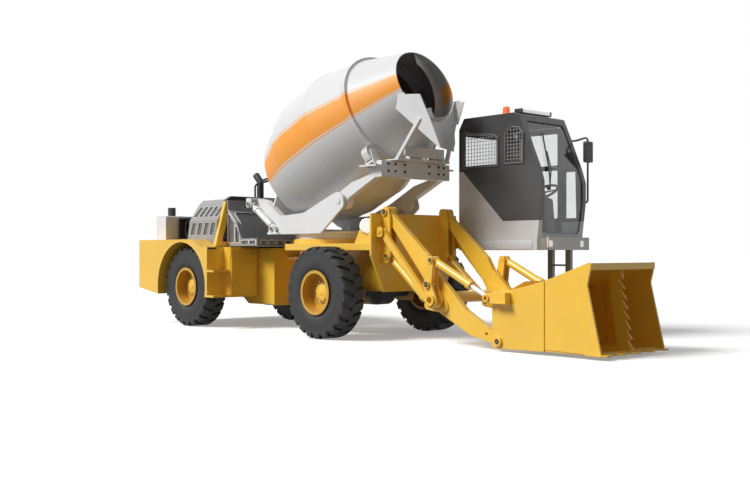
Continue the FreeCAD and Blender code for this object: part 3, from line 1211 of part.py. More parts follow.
def make_cab_glass():
    right, left = S.cab_right_y, S.cab_left_y
    side = new_body("side_glass_body")
    for window in (REAR_WINDOW, FRONT_WINDOW):
        grown = inset(window, 0.3)
        pad(side, "XZ", "-cab_right_y - 24", "6", outline(*[(x, z, 14) for x, z in grown]))
    rear = new_body("rear_glass_body")
    pad(rear, "YZ", "cab_rear_x + 14", "6", outline((right + 80.3, 1750.3, 40), (left - 60.3, 1750.3, 40),
                                                             (left - 60.3, 2439.7, 40), (right + 80.3,
                                                                 2439.7, 40)))
    pad(rear, "XZ", "-cab_left_y + 15", "6", outline(*[(x, z, 25) for x, z in inset(QUARTER_WINDOW, 0.3)]))
    outer, inner = inset(CAB, 12), inset(CAB, 18)
    strip = [p for p in outer[2:10]] + [p for p in inner[2:10]][::-1]
    front = new_body("windscreen_body")
    pad(front, "XZ", "-cab_left_y + 65.3", "cab_left_y - cab_right_y - 130.6", outline(*strip))
    clip = new_body("clip_body")
    pad(clip, "YZ", "1400", "700", outline((right + 65.3, 1215.3, 60), (left - 65.3, 1215.3, 60),
                                           (left - 65.3, 2529.7, 60),
                                           (right + 65.3, 2529.7, 60)))
    pane = doc.addObject("Part::Common", "Windscreen")
    pane.Base, pane.Tool = front, clip
    return node("cab_glass", side, rear, pane)


make_cab_glass()


def crossings(corners, level, axis):
    """Where a straight line at x = level (axis 0) or y = level (axis 1) enters and leaves an outline."""
    found = []
    for one, two in zip(corners, corners[1:] + corners[:1]):
        if min(one[axis], two[axis]) <= level <= max(one[axis], two[axis]) and one[axis] != two[axis]:
            share = (level - one[axis]) / (two[axis] - one[axis])
            found.append(one[1 - axis] + share * (two[1 - axis] - one[1 - axis]))
    return min(found), max(found)


def make_window_guards():
    """Welded mesh guards outside the two right-hand windows."""
    guards = []
    for window, columns, rows in ((REAR_WINDOW, 12, 10), (FRONT_WINDOW, 6, 10)):
        body = new_body("guard_body")
        xs = [p[0] for p in window]
        zs = [p[1] for p in window]
        pad(body, "XZ", "-cab_right_y + 0.3", "7", outline(*inset(window, -14)), outline(*inset(window, 6)))
        uprights = []
        for i in range(1, columns):
            x = min(xs) + (max(xs) - min(xs)) * i / columns
            low, high = crossings(window, x, 0)
            uprights.append(outline((x - 2.5, low - 4), (x + 2.5, low - 4), (x + 2.5, high + 4),
                                    (x - 2.5, high + 4)))
        bars = []
        for i in range(1, rows):
            z = min(zs) + (max(zs) - min(zs)) * i / rows
            first, last = crossings(window, z, 1)
            bars.append(outline((first - 4, z - 2.5), (last + 4, z - 2.5), (last + 4, z + 2.5),
                                (first - 4, z + 2.5)))
        pad(body, "XZ", "-cab_right_y + 1.3", "5", *uprights)
        pad(body, "XZ", "-cab_right_y + 2.3", "3", *bars)
        guards.append(body)
    return node("window_guards", *guards)


make_window_guards()


def make_cab_door():
    x1, x2, z1, z2 = DOOR
    gap = 5
    door = new_body("cab_door_body")
    pad(door, "XZ", "-cab_left_y", "cab_wall", outline((x1 + gap, z1 + gap, 38), (x2 - gap, z1 + gap, 38),
                                                       (x2 - gap, z2 - gap, 56),
                                                      (x1 + gap, z2 - gap, 56)))
    pocket(door, "XZ", "-cab_left_y - 1", "cab_wall + 2",
           outline((x1 + 80, 2045, 25), (x2 - 60, 2045, 25), (x2 - 60, z2 - 60, 40), (x1 + 80, z2 - 60,
               40)),
           outline((x1 + 80, 1400, 40), (x2 - 60, 1400, 40), (x2 - 60, 2015, 25), (x1 + 80, 2015, 25)))
    pad(door, "XZ", "-cab_left_y - 30", "31", outline((x2 - 140, 1330), (x2 - 40, 1330), (x2 - 40, 1360),
                                                      (x2 - 140, 1360)))
    node("cab_door", door, knuckles("door_low_hinge", 1200, True), knuckles("door_high_hinge", 2250, True),
         fused=True)
    pane = new_body("door_glass_body")
    pad(pane, "XZ", "-cab_left_y + 15", "6", outline((x1 + 80.3, 2045.3, 25), (x2 - 60.3, 2045.3, 25),
                                                     (x2 - 60.3, z2 - 60.3, 40),
                                                     (x1 + 80.3, z2 - 60.3, 40)),
        outline((x1 + 80.3, 1400.3, 40), (x2 - 60.3, 1400.3, 40), (x2 - 60.3, 2014.7, 25),
                (x1 + 80.3, 2014.7, 25)))
    node("cab_door_glass", pane)


make_cab_door()


def make_cab_fittings():
    right, left = S.cab_right_y, S.cab_left_y
    middle = (right + left) / 2
    seat = new_body("seat_body")
    floor = S.cab_floor + S.cab_wall
    pad(seat, "XY", "%g" % (floor + 0.3), "330", outline((1000, middle - 170), (1300, middle - 170),
                                                         (1300, middle + 170), (1000, middle + 170)))
    pad_mid(seat, "XZ", "480", outline((960, floor + 320, 40), (1420, floor + 340, 50), (1420, floor + 450,
        50), (1060, floor + 430, 40),
                                       (960, floor + 1010, 60), (850, floor + 1010, 50)), at="-%g" % middle)
    column = new_body("console_body")
    pad_mid(column, "XZ", "160", outline((1660, floor + 0.3), (1760, floor + 0.3), (1700, floor + 560),
                                         (1560, floor + 620), (1600, floor + 500)),
            at="-%g" % middle)
    wheel = doc.addObject("Part::Torus", "SteeringWheel")
    wheel.Radius1, wheel.Radius2 = 190, 15
    wheel.Placement = Placement(Vector(1600, middle, floor + 640), Rotation(Vector(0, 1, 0), -25))
    boss = doc.addObject("Part::Cylinder", "SteeringBoss")
    boss.Radius, boss.Height = 24, 90
    boss.Placement = Placement(Vector(1600, middle, floor + 640), Rotation(Vector(0, 1, 0), 155))
    spoke = doc.addObject("Part::Box", "SteeringSpoke")
    spoke.Length, spoke.Width, spoke.Height = 380, 30, 12
    spoke.Placement = Placement(Vector(1600, middle, floor + 640), Rotation(Vector(0, 1, 0), -25)).multiply(
        Placement(Vector(-190, -15, -6), Rotation()))
    node("cab_interior", seat, joined("SteeringGear", column, wheel, boss, spoke))
    bar = new_body("roof_unit_body")
    pad(bar, "XY", "cab_top + 0.3", "70", outline((1380, right + 120, 30), (1500, right + 120, 30),
                                                  (1500, left - 110, 30), (1380, left - 110, 30)))
    node("roof_unit", bar)
    beacon = new_body("beacon_body")
    turn(beacon, "XZ", outline((0.3, 0), (0.3, 56), (22, 56), (22, 46), (100, 42), (112, 30), (112, 0)))
    beacon.Placement = Placement(Vector(1250, right + 190, S.cab_top), Rotation(Vector(0, 1, 0), -90))
    squares = new_body("square_lamps_body")
    pad(squares, "YZ", "1925.3", "20", *[outline((y - 44.5, 1060.5), (y + 44.5, 1060.5),
                                                 (y + 44.5, 1149.5), (y - 44.5, 1149.5))
                                         for y in (847, 1432)])
    work = new_body("work_lamp_body")
    turn(work, "XZ", outline((-70, 0), (-70, 40), (-20, 87), (25, 87), (32, 78), (36, 0)))
    work.Placement = Placement(Vector(476, -645, 1310), Rotation(Vector(0, 0, 1), -40))
    node("lamps", beacon, squares, work)
    arm = tube([(1690, left + 0.3, 2350), (1690, left + 95, 2350), (1880, left + 95, 2385),
                (1880, left + 95, 1600),
                (1880, left + 0.3, 1600)], 12, 40, "MirrorArm")
    plate = new_body("mirror_body")
    pad(plate, "YZ", "1860", "45", outline((left + 30, 2080, 20), (left + 165, 2080, 20),
                                           (left + 165, 2330, 20), (left + 30, 2330, 20)))
    node("cab_mirror", arm, plate, fused=True)
    ladder = new_body("ladder_body")
    for x in (1550, 1810):
        pad(ladder, "XY", "450", "%g" % (S.cab_floor - 450.3), outline((x, 1295), (x + 70, 1295),
                                                                       (x + 70, 1345), (x, 1345)))
    for z in (460, 640, 842):
        pad(ladder, "YZ", "1600", "230", outline((1300, z), (1340, z), (1340, z + 22), (1300, z + 22)))
    node("cab_ladder", ladder)


make_cab_fittings()


def make_locker_door():
    body = new_body("locker_door_body")
    pad(body, "YZ", "fender_front_x + 0.3", "22", outline((-850, S.rear_low + 30, 15),
                                                          (-450, S.rear_low + 30, 15),
                                                        (-450, S.rear_top - 130, 15),
                                                          (-850, S.rear_top - 130, 15)))
    for z in (530, 970):
        pad(body, "YZ", "fender_front_x + 20", "20", outline((-540, z - 15), (-480, z - 15),
                                                             (-480, z + 15), (-540, z + 15)))
        pad(body, "XY", "%g" % (z + 30.3), "40", outline((-1970, -866), (-1958, -866), (-1958, -840),
                                                         (-1970, -840)))
        pad(body, "XY", "%g" % (z + 30.3), "40", circle(-1962, -862, 9))
    return node("locker_door", body)


make_locker_door()

# ---------------------------------------------------------------- write
doc.recompute()
failed = [thing.Label for thing in doc.Objects if "Invalid" in thing.State or "Error" in thing.State]
if failed:
    raise SystemExit("Failed objects: %s" % ", ".join(failed))
empty = [label for label, owner in NODES.items() if owner.Shape.isNull() or not owner.Shape.isValid()]
if empty:
    raise SystemExit("Nodes with no valid shape: %s" % ", ".join(empty))
os.makedirs("parts", exist_ok=True)
for label, owner in NODES.items():
    owner.Shape.exportStep("parts/%s.step" % label)
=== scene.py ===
"""Looks of the self-loading concrete mixer: its finishes, tyre treads, fastenings, hoses and trim.

Metres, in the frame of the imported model: X forward to the bucket, Y to the left, Z up.
"""
import json
import math

import bmesh
import bpy
from mathutils import Matrix, Vector


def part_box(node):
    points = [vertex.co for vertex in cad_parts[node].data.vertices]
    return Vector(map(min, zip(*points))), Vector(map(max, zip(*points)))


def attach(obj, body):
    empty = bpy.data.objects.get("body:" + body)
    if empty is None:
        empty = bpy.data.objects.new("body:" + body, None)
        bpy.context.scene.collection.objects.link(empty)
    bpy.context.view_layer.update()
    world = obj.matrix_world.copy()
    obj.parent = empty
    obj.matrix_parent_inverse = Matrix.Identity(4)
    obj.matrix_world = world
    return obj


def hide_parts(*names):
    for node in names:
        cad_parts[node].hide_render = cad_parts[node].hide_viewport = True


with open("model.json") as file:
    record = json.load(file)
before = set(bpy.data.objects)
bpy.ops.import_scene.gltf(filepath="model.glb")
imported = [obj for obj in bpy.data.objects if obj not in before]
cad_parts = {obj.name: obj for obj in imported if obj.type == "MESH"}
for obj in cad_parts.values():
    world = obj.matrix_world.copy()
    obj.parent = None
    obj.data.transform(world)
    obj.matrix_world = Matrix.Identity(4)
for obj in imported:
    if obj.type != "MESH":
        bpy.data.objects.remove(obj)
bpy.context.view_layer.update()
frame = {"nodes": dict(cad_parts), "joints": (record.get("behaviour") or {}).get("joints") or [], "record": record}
NODES = frame["nodes"]


def middle(node):
    low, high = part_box(node)
    return (low + high) / 2


# ---------------------------------------------------------------- places
# Places are given from the front axle's middle on the ground, as in the part's own drawing.
FRONT_AXLE = middle("front_axle")
REAR_AXLE = middle("rear_axle")
WHEEL_RADIUS = FRONT_AXLE.z


def spot(x, y, z):
    return Vector((FRONT_AXLE.x + x, FRONT_AXLE.y + y, z))


X, Y, Z = Vector((1, 0, 0)), Vector((0, 1, 0)), Vector((0, 0, 1))
JOINTS = {joint["name"]: joint for joint in frame["joints"]}
DRUM_SPIN = next(j for j in frame["record"]["behaviour"]["joints"] if j["name"] == "drum_spin")
MOUTH = Vector(DRUM_SPIN["pos_m"])
DRUM_AXIS = Vector(DRUM_SPIN["axis"]).normalized()
DRUM_ANGLE = math.atan2(DRUM_AXIS.z, DRUM_AXIS.x)
DRUM_UP = Vector((-math.sin(DRUM_ANGLE), 0, math.cos(DRUM_ANGLE)))


# ---------------------------------------------------------------- shared effects
def socket(group, name, kind, into, default=None):
    item = group.interface.new_socket(name=name, in_out="INPUT" if into else "OUTPUT", socket_type=kind)
    if default is not None:
        item.default_value = default
    return item


def new_group(name, inputs, outputs):
    group = bpy.data.node_groups.new(name, "ShaderNodeTree")
    for title, kind, default in inputs:
        socket(group, title, kind, True, default)
    for title, kind in outputs:
        socket(group, title, kind, False)
    start = group.nodes.new("NodeGroupInput")
    end = group.nodes.new("NodeGroupOutput")
    return group, start.outputs, end.inputs


def math_node(tree, operation, one, two=None, clamp=False):
    node = tree.nodes.new("ShaderNodeMath")
    node.operation = operation
    node.use_clamp = clamp
    for index, value in enumerate((one, two)):
        if isinstance(value, bpy.types.NodeSocket):
            tree.links.new(value, node.inputs[index])
        elif value is not None:
            node.inputs[index].default_value = value
    return node.outputs[0]


def vector_node(tree, operation, one, two=None):
    node = tree.nodes.new("ShaderNodeVectorMath")
    node.operation = operation
    for index, value in enumerate((one, two)):
        if isinstance(value, bpy.types.NodeSocket):
            tree.links.new(value, node.inputs[index])
        elif value is not None:
            node.inputs[index].default_value = value
    return node.outputs["Value"] if operation in ("DOT_PRODUCT", "LENGTH") else node.outputs["Vector"]


def span(tree, value, low, high, to_low=0.0, to_high=1.0):
    """Value from low..high spread smoothly over to_low..to_high."""
    node = tree.nodes.new("ShaderNodeMapRange")
    node.interpolation_type = "SMOOTHSTEP"
    tree.links.new(value, node.inputs["Value"])
    for title, level in (("From Min", low), ("From Max", high), ("To Min", to_low), ("To Max", to_high)):
        if isinstance(level, bpy.types.NodeSocket):
            tree.links.new(level, node.inputs[title])
        else:
            node.inputs[title].default_value = level
    return node.outputs["Result"]


def noise(tree, vector, scale, detail=3.0, rough=0.55):
    node = tree.nodes.new("ShaderNodeTexNoise")
    tree.links.new(vector, node.inputs["Vector"])
    node.inputs["Detail"].default_value = detail
    node.inputs["Roughness"].default_value = rough
    if isinstance(scale, bpy.types.NodeSocket):
        tree.links.new(scale, node.inputs["Scale"])
    else:
        node.inputs["Scale"].default_value = scale
    return node.outputs["Fac"]


def blend_colour(tree, share, one, two):
    node = tree.nodes.new("ShaderNodeMix")
    node.data_type = "RGBA"
    tree.links.new(share, node.inputs["Factor"])
    for title, value in ((6, one), (7, two)):
        if isinstance(value, bpy.types.NodeSocket):
            tree.links.new(value, node.inputs[title])
        else:
            node.inputs[title].default_value = (*value, 1)
    return node.outputs[2]


def edge_wear_group():
    """Mask of the chipped and rubbed paint along a solid's edges."""
    group, given, put = new_group(
        "Edge wear", [("Width", "NodeSocketFloat", 0.006), ("Amount", "NodeSocketFloat", 0.5), ("Grain", "NodeSocketFloat", 60.0)],
        [("Mask", "NodeSocketFloat")])
    place = group.nodes.new("ShaderNodeTexCoord").outputs["Object"]
    flat = group.nodes.new("ShaderNodeNewGeometry").outputs["Normal"]
    rounded = group.nodes.new("ShaderNodeBevel")
    rounded.samples = 4
    group.links.new(given["Width"], rounded.inputs["Radius"])
    turn = vector_node(group, "DOT_PRODUCT", flat, rounded.outputs["Normal"])
    edge = span(group, math_node(group, "SUBTRACT", 1.0, turn), 0.004, 0.12)
    chips = noise(group, place, given["Grain"], 5.0, 0.7)
    level = math_node(group, "SUBTRACT", 1.0, given["Amount"])
    worn = span(group, math_node(group, "MULTIPLY", edge, chips), math_node(group, "MULTIPLY", level, 0.55),
                math_node(group, "ADD", math_node(group, "MULTIPLY", level, 0.55), 0.12))
    group.links.new(worn, put["Mask"])
    return group


def grain_group():
    """Height of a fine surface grain and a slow tint that varies over the surface."""
    group, given, put = new_group(
        "Grain", [("Fine", "NodeSocketFloat", 400.0), ("Slow", "NodeSocketFloat", 1.5)],
        [("Height", "NodeSocketFloat"), ("Tint", "NodeSocketFloat")])
    place = group.nodes.new("ShaderNodeTexCoord").outputs["Object"]
    group.links.new(noise(group, place, given["Fine"], 2.0), put["Height"])
    group.links.new(noise(group, place, given["Slow"], 4.0, 0.6), put["Tint"])
    return group


def dust_group():
    """Mask of the dust that settles low on the machine and on faces that look up."""
    group, given, put = new_group(
        "Dust", [("Low", "NodeSocketFloat", 0.35), ("Top", "NodeSocketFloat", 0.15), ("Reach", "NodeSocketFloat", 1.1)],
        [("Mask", "NodeSocketFloat")])
    place = group.nodes.new("ShaderNodeTexCoord").outputs["Object"]
    parts = group.nodes.new("ShaderNodeSeparateXYZ")
    group.links.new(place, parts.inputs[0])
    normal = group.nodes.new("ShaderNodeSeparateXYZ")
    group.links.new(group.nodes.new("ShaderNodeNewGeometry").outputs["Normal"], normal.inputs[0])
    low = span(group, math_node(group, "DIVIDE", parts.outputs["Z"], given["Reach"]), 0.0, 1.0, 1.0, 0.0)
    up = span(group, normal.outputs["Z"], 0.6, 1.0)
    patches = span(group, noise(group, place, 7.0, 6.0, 0.65), 0.35, 0.7)
    both = math_node(group, "ADD", math_node(group, "MULTIPLY", low, given["Low"]), math_node(group, "MULTIPLY", up, given["Top"]))
    group.links.new(math_node(group, "MULTIPLY", both, patches, clamp=True), put["Mask"])
    return group


EDGE_WEAR = edge_wear_group()
GRAIN = grain_group()
DUST = dust_group()
DUST_COLOUR = (0.42, 0.38, 0.32)


def use(tree, group, **values):
    node = tree.nodes.new("ShaderNodeGroup")
    node.node_tree = group
    for title, value in values.items():
        node.inputs[title].default_value = value
    return node.outputs


# ---------------------------------------------------------------- finishes
def new_material(name):
    material = bpy.data.materials.new(name)
    material.use_nodes = True
    tree = material.node_tree
    return material, tree, tree.nodes["Principled BSDF"].inputs


def soften(tree, shader, width, height=None, strength=0.05, distance=0.001):
    """Rounds the look of sharp edges, and lays a fine grain over it."""
    rounded = tree.nodes.new("ShaderNodeBevel")
    rounded.samples = 4
    rounded.inputs["Radius"].default_value = width
    if height is None:
        tree.links.new(rounded.outputs["Normal"], shader["Normal"])
        return
    bump = tree.nodes.new("ShaderNodeBump")
    bump.inputs["Strength"].default_value = strength
    bump.inputs["Distance"].default_value = distance
    tree.links.new(height, bump.inputs["Height"])
    tree.links.new(rounded.outputs["Normal"], bump.inputs["Normal"])
    tree.links.new(bump.outputs["Normal"], shader["Normal"])


def paint(name, colour, rough=0.32, coat=0.25, wear=0.12, bare=(0.16, 0.14, 0.12), dust=0.06, base=None,
          gloss=0.5):
    """Sprayed paint: orange-peel grain, slow fading, rubbed edges and dust low down."""
    material, tree, shader = new_material(name)
    grain = use(tree, GRAIN, Fine=260.0, Slow=1.3)
    worn = use(tree, EDGE_WEAR, Width=0.005, Amount=wear, Grain=45.0)["Mask"]
    dusty = use(tree, DUST, Low=dust, Top=dust * 0.4, Reach=1.1)["Mask"]
    top = base(tree) if base else colour
    darker = tuple(c * 0.93 for c in colour)
    if base:
        faded = top
    else:
        faded = blend_colour(tree, span(tree, grain["Tint"], 0.3, 0.7), darker, colour)
    chipped = blend_colour(tree, worn, faded, bare)
    settled = blend_colour(tree, dusty, chipped, DUST_COLOUR)
    tree.links.new(settled, shader["Base Color"])
    tree.links.new(math_node(tree, "ADD", span(tree, grain["Tint"], 0.2, 0.8, rough - 0.06, rough + 0.08),
                             math_node(tree, "MULTIPLY", dusty, 0.35)), shader["Roughness"])
    shader["Coat Weight"].default_value = coat
    shader["Coat Roughness"].default_value = 0.12
    shader["Specular IOR Level"].default_value = gloss
    soften(tree, shader, 0.006, grain["Height"], 0.06, 0.0006)
    return material


def bare_metal(name, colour, rough, metallic=1.0, wear=0.0, grain_size=500.0, strength=0.08):
    """Metal without paint: fine grain, and a slow change of gloss."""
    material, tree, shader = new_material(name)
    grain = use(tree, GRAIN, Fine=grain_size, Slow=3.0)
    darker = tuple(c * 0.78 for c in colour)
    tree.links.new(blend_colour(tree, span(tree, grain["Tint"], 0.3, 0.7), darker, colour), shader["Base Color"])
    tree.links.new(span(tree, grain["Tint"], 0.25, 0.75, rough - 0.05, rough + 0.12), shader["Roughness"])
    shader["Metallic"].default_value = metallic
    soften(tree, shader, 0.003, grain["Height"], strength, 0.0006)
    return material


def plastic(name, colour, rough=0.5, fine=900.0, strength=0.12):
    """Moulded plastic or rubber with a fine even texture."""
    material, tree, shader = new_material(name)
    grain = use(tree, GRAIN, Fine=fine, Slow=2.5)
    paler = tuple(min(1.0, c * 1.35 + 0.004) for c in colour)
    tree.links.new(blend_colour(tree, span(tree, grain["Tint"], 0.35, 0.7), colour, paler), shader["Base Color"])
    tree.links.new(span(tree, grain["Tint"], 0.2, 0.8, rough - 0.05, rough + 0.1), shader["Roughness"])
    soften(tree, shader, 0.003, grain["Height"], strength, 0.0008)
    return material


def glass(name, colour, rough=0.02):
    material, tree, shader = new_material(name)
    place = tree.nodes.new("ShaderNodeTexCoord").outputs["Object"]
    shader["Base Color"].default_value = (*colour, 1)
    tree.links.new(span(tree, noise(tree, place, 6.0), 0.3, 0.8, rough, rough + 0.05), shader["Roughness"])
    shader["Transmission Weight"].default_value = 1.0
    shader["IOR"].default_value = 1.45
    return material


YELLOW = (0.92, 0.55, 0.05)
ORANGE = (0.93, 0.37, 0.06)
WHITE = (0.78, 0.78, 0.78)
DRUM_WHITE = (0.68, 0.68, 0.68)
yellow_paint = paint("Yellow paint", YELLOW)
rim_paint = paint("Wheel yellow", (0.64, 0.35, 0.03), rough=0.4, coat=0.1)
white_paint = paint("White paint", WHITE, wear=0.2, bare=(0.3, 0.28, 0.26))
hood_paint = paint("Grey hood paint", (0.30, 0.30, 0.295), wear=0.2, bare=(0.3, 0.28, 0.26))
charcoal_paint = paint("Charcoal cab paint", (0.060, 0.060, 0.062), rough=0.38, wear=0.15)
cab_paint = paint("Stone grey cab paint", (0.66, 0.675, 0.70), rough=0.38, wear=0.15)
black_paint = paint("Black chassis paint", (0.03, 0.03, 0.032), rough=0.42, coat=0.1, wear=0.2)
guard_paint = paint("Grey guard wire", (0.42, 0.42, 0.42), rough=0.4, wear=0.1)
cast_iron = bare_metal("Painted casting", (0.035, 0.035, 0.037), 0.55, metallic=0.3, grain_size=300.0, strength=0.3)
stack_metal = bare_metal("Sooted stack", (0.03, 0.03, 0.03), 0.5, metallic=0.5)
chrome = bare_metal("Polished rod", (0.86, 0.86, 0.87), 0.16)
zinc = bare_metal("Zinc-plated steel", (0.62, 0.61, 0.58), 0.34)
ladder_paint = paint("Grey ladder paint", (0.30, 0.30, 0.30), rough=0.4)
dark_steel = bare_metal("Drum inner steel", (0.52, 0.52, 0.525), 0.5, metallic=0.2, grain_size=120.0, strength=0.2)
rubber = plastic("Tyre rubber", (0.012, 0.012, 0.013), 0.62, 300.0, 0.25)
black_plastic = plastic("Black moulded plastic", (0.02, 0.02, 0.021), 0.45)
hose_rubber = plastic("Hose rubber", (0.016, 0.016, 0.017), 0.5, 700.0, 0.2)
grey_hose = plastic("Grey sleeve", (0.42, 0.42, 0.42), 0.5, 700.0, 0.2)
seat_vinyl = plastic("Cushion vinyl", (0.03, 0.03, 0.032), 0.55, 500.0, 0.3)
cab_glass = glass("Tinted cab glass", (0.87, 0.88, 0.88))
lens_glass = glass("Lamp lens", (0.95, 0.96, 0.97), 0.05)


def stripe_colours(tree):
    """White drum, with an orange band and its pin lines along each side; dark steel inside."""
    place = tree.nodes.new("ShaderNodeTexCoord").outputs["Object"]
    from_mouth = vector_node(tree, "SUBTRACT", place, tuple(MOUTH))
    side = vector_node(tree, "DOT_PRODUCT", from_mouth, tuple(Y))
    rise = vector_node(tree, "DOT_PRODUCT", from_mouth, tuple(DRUM_UP))
    slope = math_node(tree, "ABSOLUTE", math_node(tree, "DIVIDE", rise, math_node(tree, "ABSOLUTE", side)))
    angle = math_node(tree, "ARCTANGENT", slope)

    def within(low, high):
        above = math_node(tree, "GREATER_THAN", angle, math.radians(low))
        below = math_node(tree, "LESS_THAN", angle, math.radians(high))
        return math_node(tree, "MULTIPLY", above, below)

    on_band = math_node(tree, "MAXIMUM", within(-1, 11.4), within(12.6, 13.7))
    normal = tree.nodes.new("ShaderNodeNewGeometry").outputs["True Normal"]
    outward = math_node(tree, "ADD", math_node(tree, "MULTIPLY", vector_node(tree, "DOT_PRODUCT", normal, tuple(Y)), side),
                        math_node(tree, "MULTIPLY", vector_node(tree, "DOT_PRODUCT", normal, tuple(DRUM_UP)), rise))
    inside = math_node(tree, "LESS_THAN", outward, -0.01)
    shell = blend_colour(tree, inside, DRUM_WHITE, (0.50, 0.50, 0.505))
    return blend_colour(tree, on_band, shell, ORANGE)


drum_paint = paint("Striped drum paint", DRUM_WHITE, rough=0.42, coat=0.0, wear=0.12, bare=(0.4, 0.38, 0.36), dust=0.1,
                   base=stripe_colours, gloss=0.3)

def lamp_colours(tree):
    """Red-orange beacon on the roof, pale lamps below."""
    place = tree.nodes.new("ShaderNodeSeparateXYZ")
    tree.links.new(tree.nodes.new("ShaderNodeTexCoord").outputs["Object"], place.inputs[0])
    high = math_node(tree, "GREATER_THAN", place.outputs["Z"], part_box("cab_upper")[1].z - 0.01)
    behind = math_node(tree, "LESS_THAN", place.outputs["X"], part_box("roof_unit")[0].x)
    return blend_colour(tree, math_node(tree, "MULTIPLY", high, behind), (0.95, 0.95, 0.94), (0.86, 0.15, 0.04))


def capped_colours(tree):
    """Yellow frame with the black rubber cap over its top."""
    place = tree.nodes.new("ShaderNodeSeparateXYZ")
    tree.links.new(tree.nodes.new("ShaderNodeTexCoord").outputs["Object"], place.inputs[0])
    high = math_node(tree, "GREATER_THAN", place.outputs["Z"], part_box("hood_frame")[1].z - 0.07)
    return blend_colour(tree, high, YELLOW, (0.03, 0.03, 0.03))


capped_paint = paint("Yellow paint with black cap", YELLOW, base=capped_colours)
lamp_finish = paint("Lamp lenses", WHITE, rough=0.18, coat=0.6, wear=0.0, dust=0.0, base=lamp_colours)
lamp_tree = lamp_finish.node_tree
lamp_tree.links.new(lamp_colours(lamp_tree), lamp_tree.nodes["Principled BSDF"].inputs["Emission Color"])
lamp_tree.nodes["Principled BSDF"].inputs["Emission Strength"].default_value = 0.42

FINISHES = {
    yellow_paint: ("front_frame", "slew_bearing", "rear_frame", "rear_fenders", "locker_door", "boom_arms", "bucket_pins",
                   "bell_cranks", "level_links", "lift_barrels", "bucket", "bucket_tilt_barrels"),
    rim_paint: ("rim_front_left", "rim_front_right", "rim_rear_left", "rim_rear_right"),
    white_paint: ("slew_platform", "tilt_frame", "discharge_hopper", "drum_jack_barrels", "rear_tank", "roof_unit"),
    hood_paint: ("engine_hood", "hood_nose"), capped_paint: ("hood_frame",), charcoal_paint: ("cab_upper", "cab_door"), cab_paint: ("cab_lower",),
    black_paint: ("cooler_pack", "drum_drive"), zinc: ("support_roller_left", "support_roller_right"),
    ladder_paint: ("cab_ladder",),
    guard_paint: ("window_guards",), cast_iron: ("engine_block", "front_axle", "rear_axle"),
    stack_metal: ("exhaust_stack",), chrome: ("drum_jack_rods", "lift_rods", "bucket_tilt_rods"),
    dark_steel: ("drum_blades", "hopper_apron"), lamp_finish: ("lamps",), hose_rubber: ("drum_hoses",), drum_paint: ("drum_shell",), seat_vinyl: ("cab_interior",),
    black_plastic: ("cab_mirror",), cab_glass: ("cab_glass", "cab_door_glass"),
}
for material, nodes in FINISHES.items():
    for node in nodes:
        for place in NODES[node].material_slots:
            place.material = material
BODY_OF = {node: body for body, held in frame["record"]["behaviour"]["bodies"].items() for node in held}


# ---------------------------------------------------------------- making pieces
def rounded(bm, edges, width, segments=2):
    bmesh.ops.bevel(bm, geom=edges, offset=width, offset_type="OFFSET", segments=segments, profile=0.5,
                    affect="EDGES", material=-1, clamp_overlap=True)


def block(bm, low, high, round_by=0.0, turned=None):
    """A bar or plate between two corners, its edges rounded, turned about its own middle."""
    size, centre = Vector(high) - Vector(low), (Vector(high) + Vector(low)) / 2
    made = bmesh.ops.create_cube(bm, size=1.0)["verts"]
    bmesh.ops.scale(bm, vec=size, verts=made)
    edges = list({edge for vert in made for edge in vert.link_edges})
    if round_by:
        before = set(bm.verts) - set(made)
        rounded(bm, edges, round_by)
        made = [vert for vert in bm.verts if vert not in before]
    bmesh.ops.transform(bm, matrix=Matrix.Translation(centre) @ (turned or Matrix()), verts=made)
    return made


def facing(axis):
    """Turns a shape made along Z to look along axis."""
    return Vector(axis).to_track_quat("Z", "Y").to_matrix().to_4x4()


def rod(bm, start, end, radius, sides=24, far_radius=None, round_by=0.0):
    start, end = Vector(start), Vector(end)
    before = set(bm.verts)
    bmesh.ops.create_cone(bm, cap_ends=True, segments=sides, radius1=radius,
                          radius2=radius if far_radius is None else far_radius, depth=(end - start).length)
    made = [vert for vert in bm.verts if vert not in before]
    if round_by:
        rims = [edge for edge in {e for v in made for e in v.link_edges} if edge.calc_face_angle(0) > 1.0]
        rounded(bm, rims, round_by)
        made = [vert for vert in bm.verts if vert not in before]
    bmesh.ops.transform(bm, matrix=Matrix.Translation((start + end) / 2) @ facing(end - start), verts=made)
    return made


def hex_bolt(bm, place, axis, across):
    """Hexagon head on its washer, standing on a face at `place`."""
    place, axis = Vector(place), Vector(axis).normalized()
    rod(bm, place, place + axis * across * 0.12, across * 0.72, 16)
    rod(bm, place + axis * across * 0.1, place + axis * across * 0.55, across / 2 / math.cos(math.pi / 6), 6,
        round_by=across * 0.05)


def spun(bm, profile, centre, axis, across, steps=48, closed=True):
    """Turns a profile of (along axis, off axis) once round the axis."""
    axis, across = Vector(axis).normalized(), Vector(across).normalized()
    verts = [bm.verts.new(Vector(centre) + axis * along + across * off) for along, off in profile]
    pairs = list(zip(verts, verts[1:])) + ([(verts[-1], verts[0])] if closed else [])
    edges = [bm.edges.new(pair) for pair in pairs]
    bmesh.ops.spin(bm, geom=verts + edges, cent=centre, axis=axis, angle=math.tau, steps=steps, use_merge=True)


def ring_of(bm, verts_before, centre, axis, count):
    """Repeats what was made since verts_before evenly round an axis."""
    made = [v for v in bm.verts if v not in verts_before]
    geom = made + list({e for v in made for e in v.link_edges}) + list({f for v in made for f in v.link_faces})
    for step in range(1, count):
        copy = bmesh.ops.duplicate(bm, geom=geom)["geom"]
        bmesh.ops.rotate(bm, cent=centre, matrix=Matrix.Rotation(math.tau * step / count, 3, Vector(axis)),
                         verts=[item for item in copy if isinstance(item, bmesh.types.BMVert)])


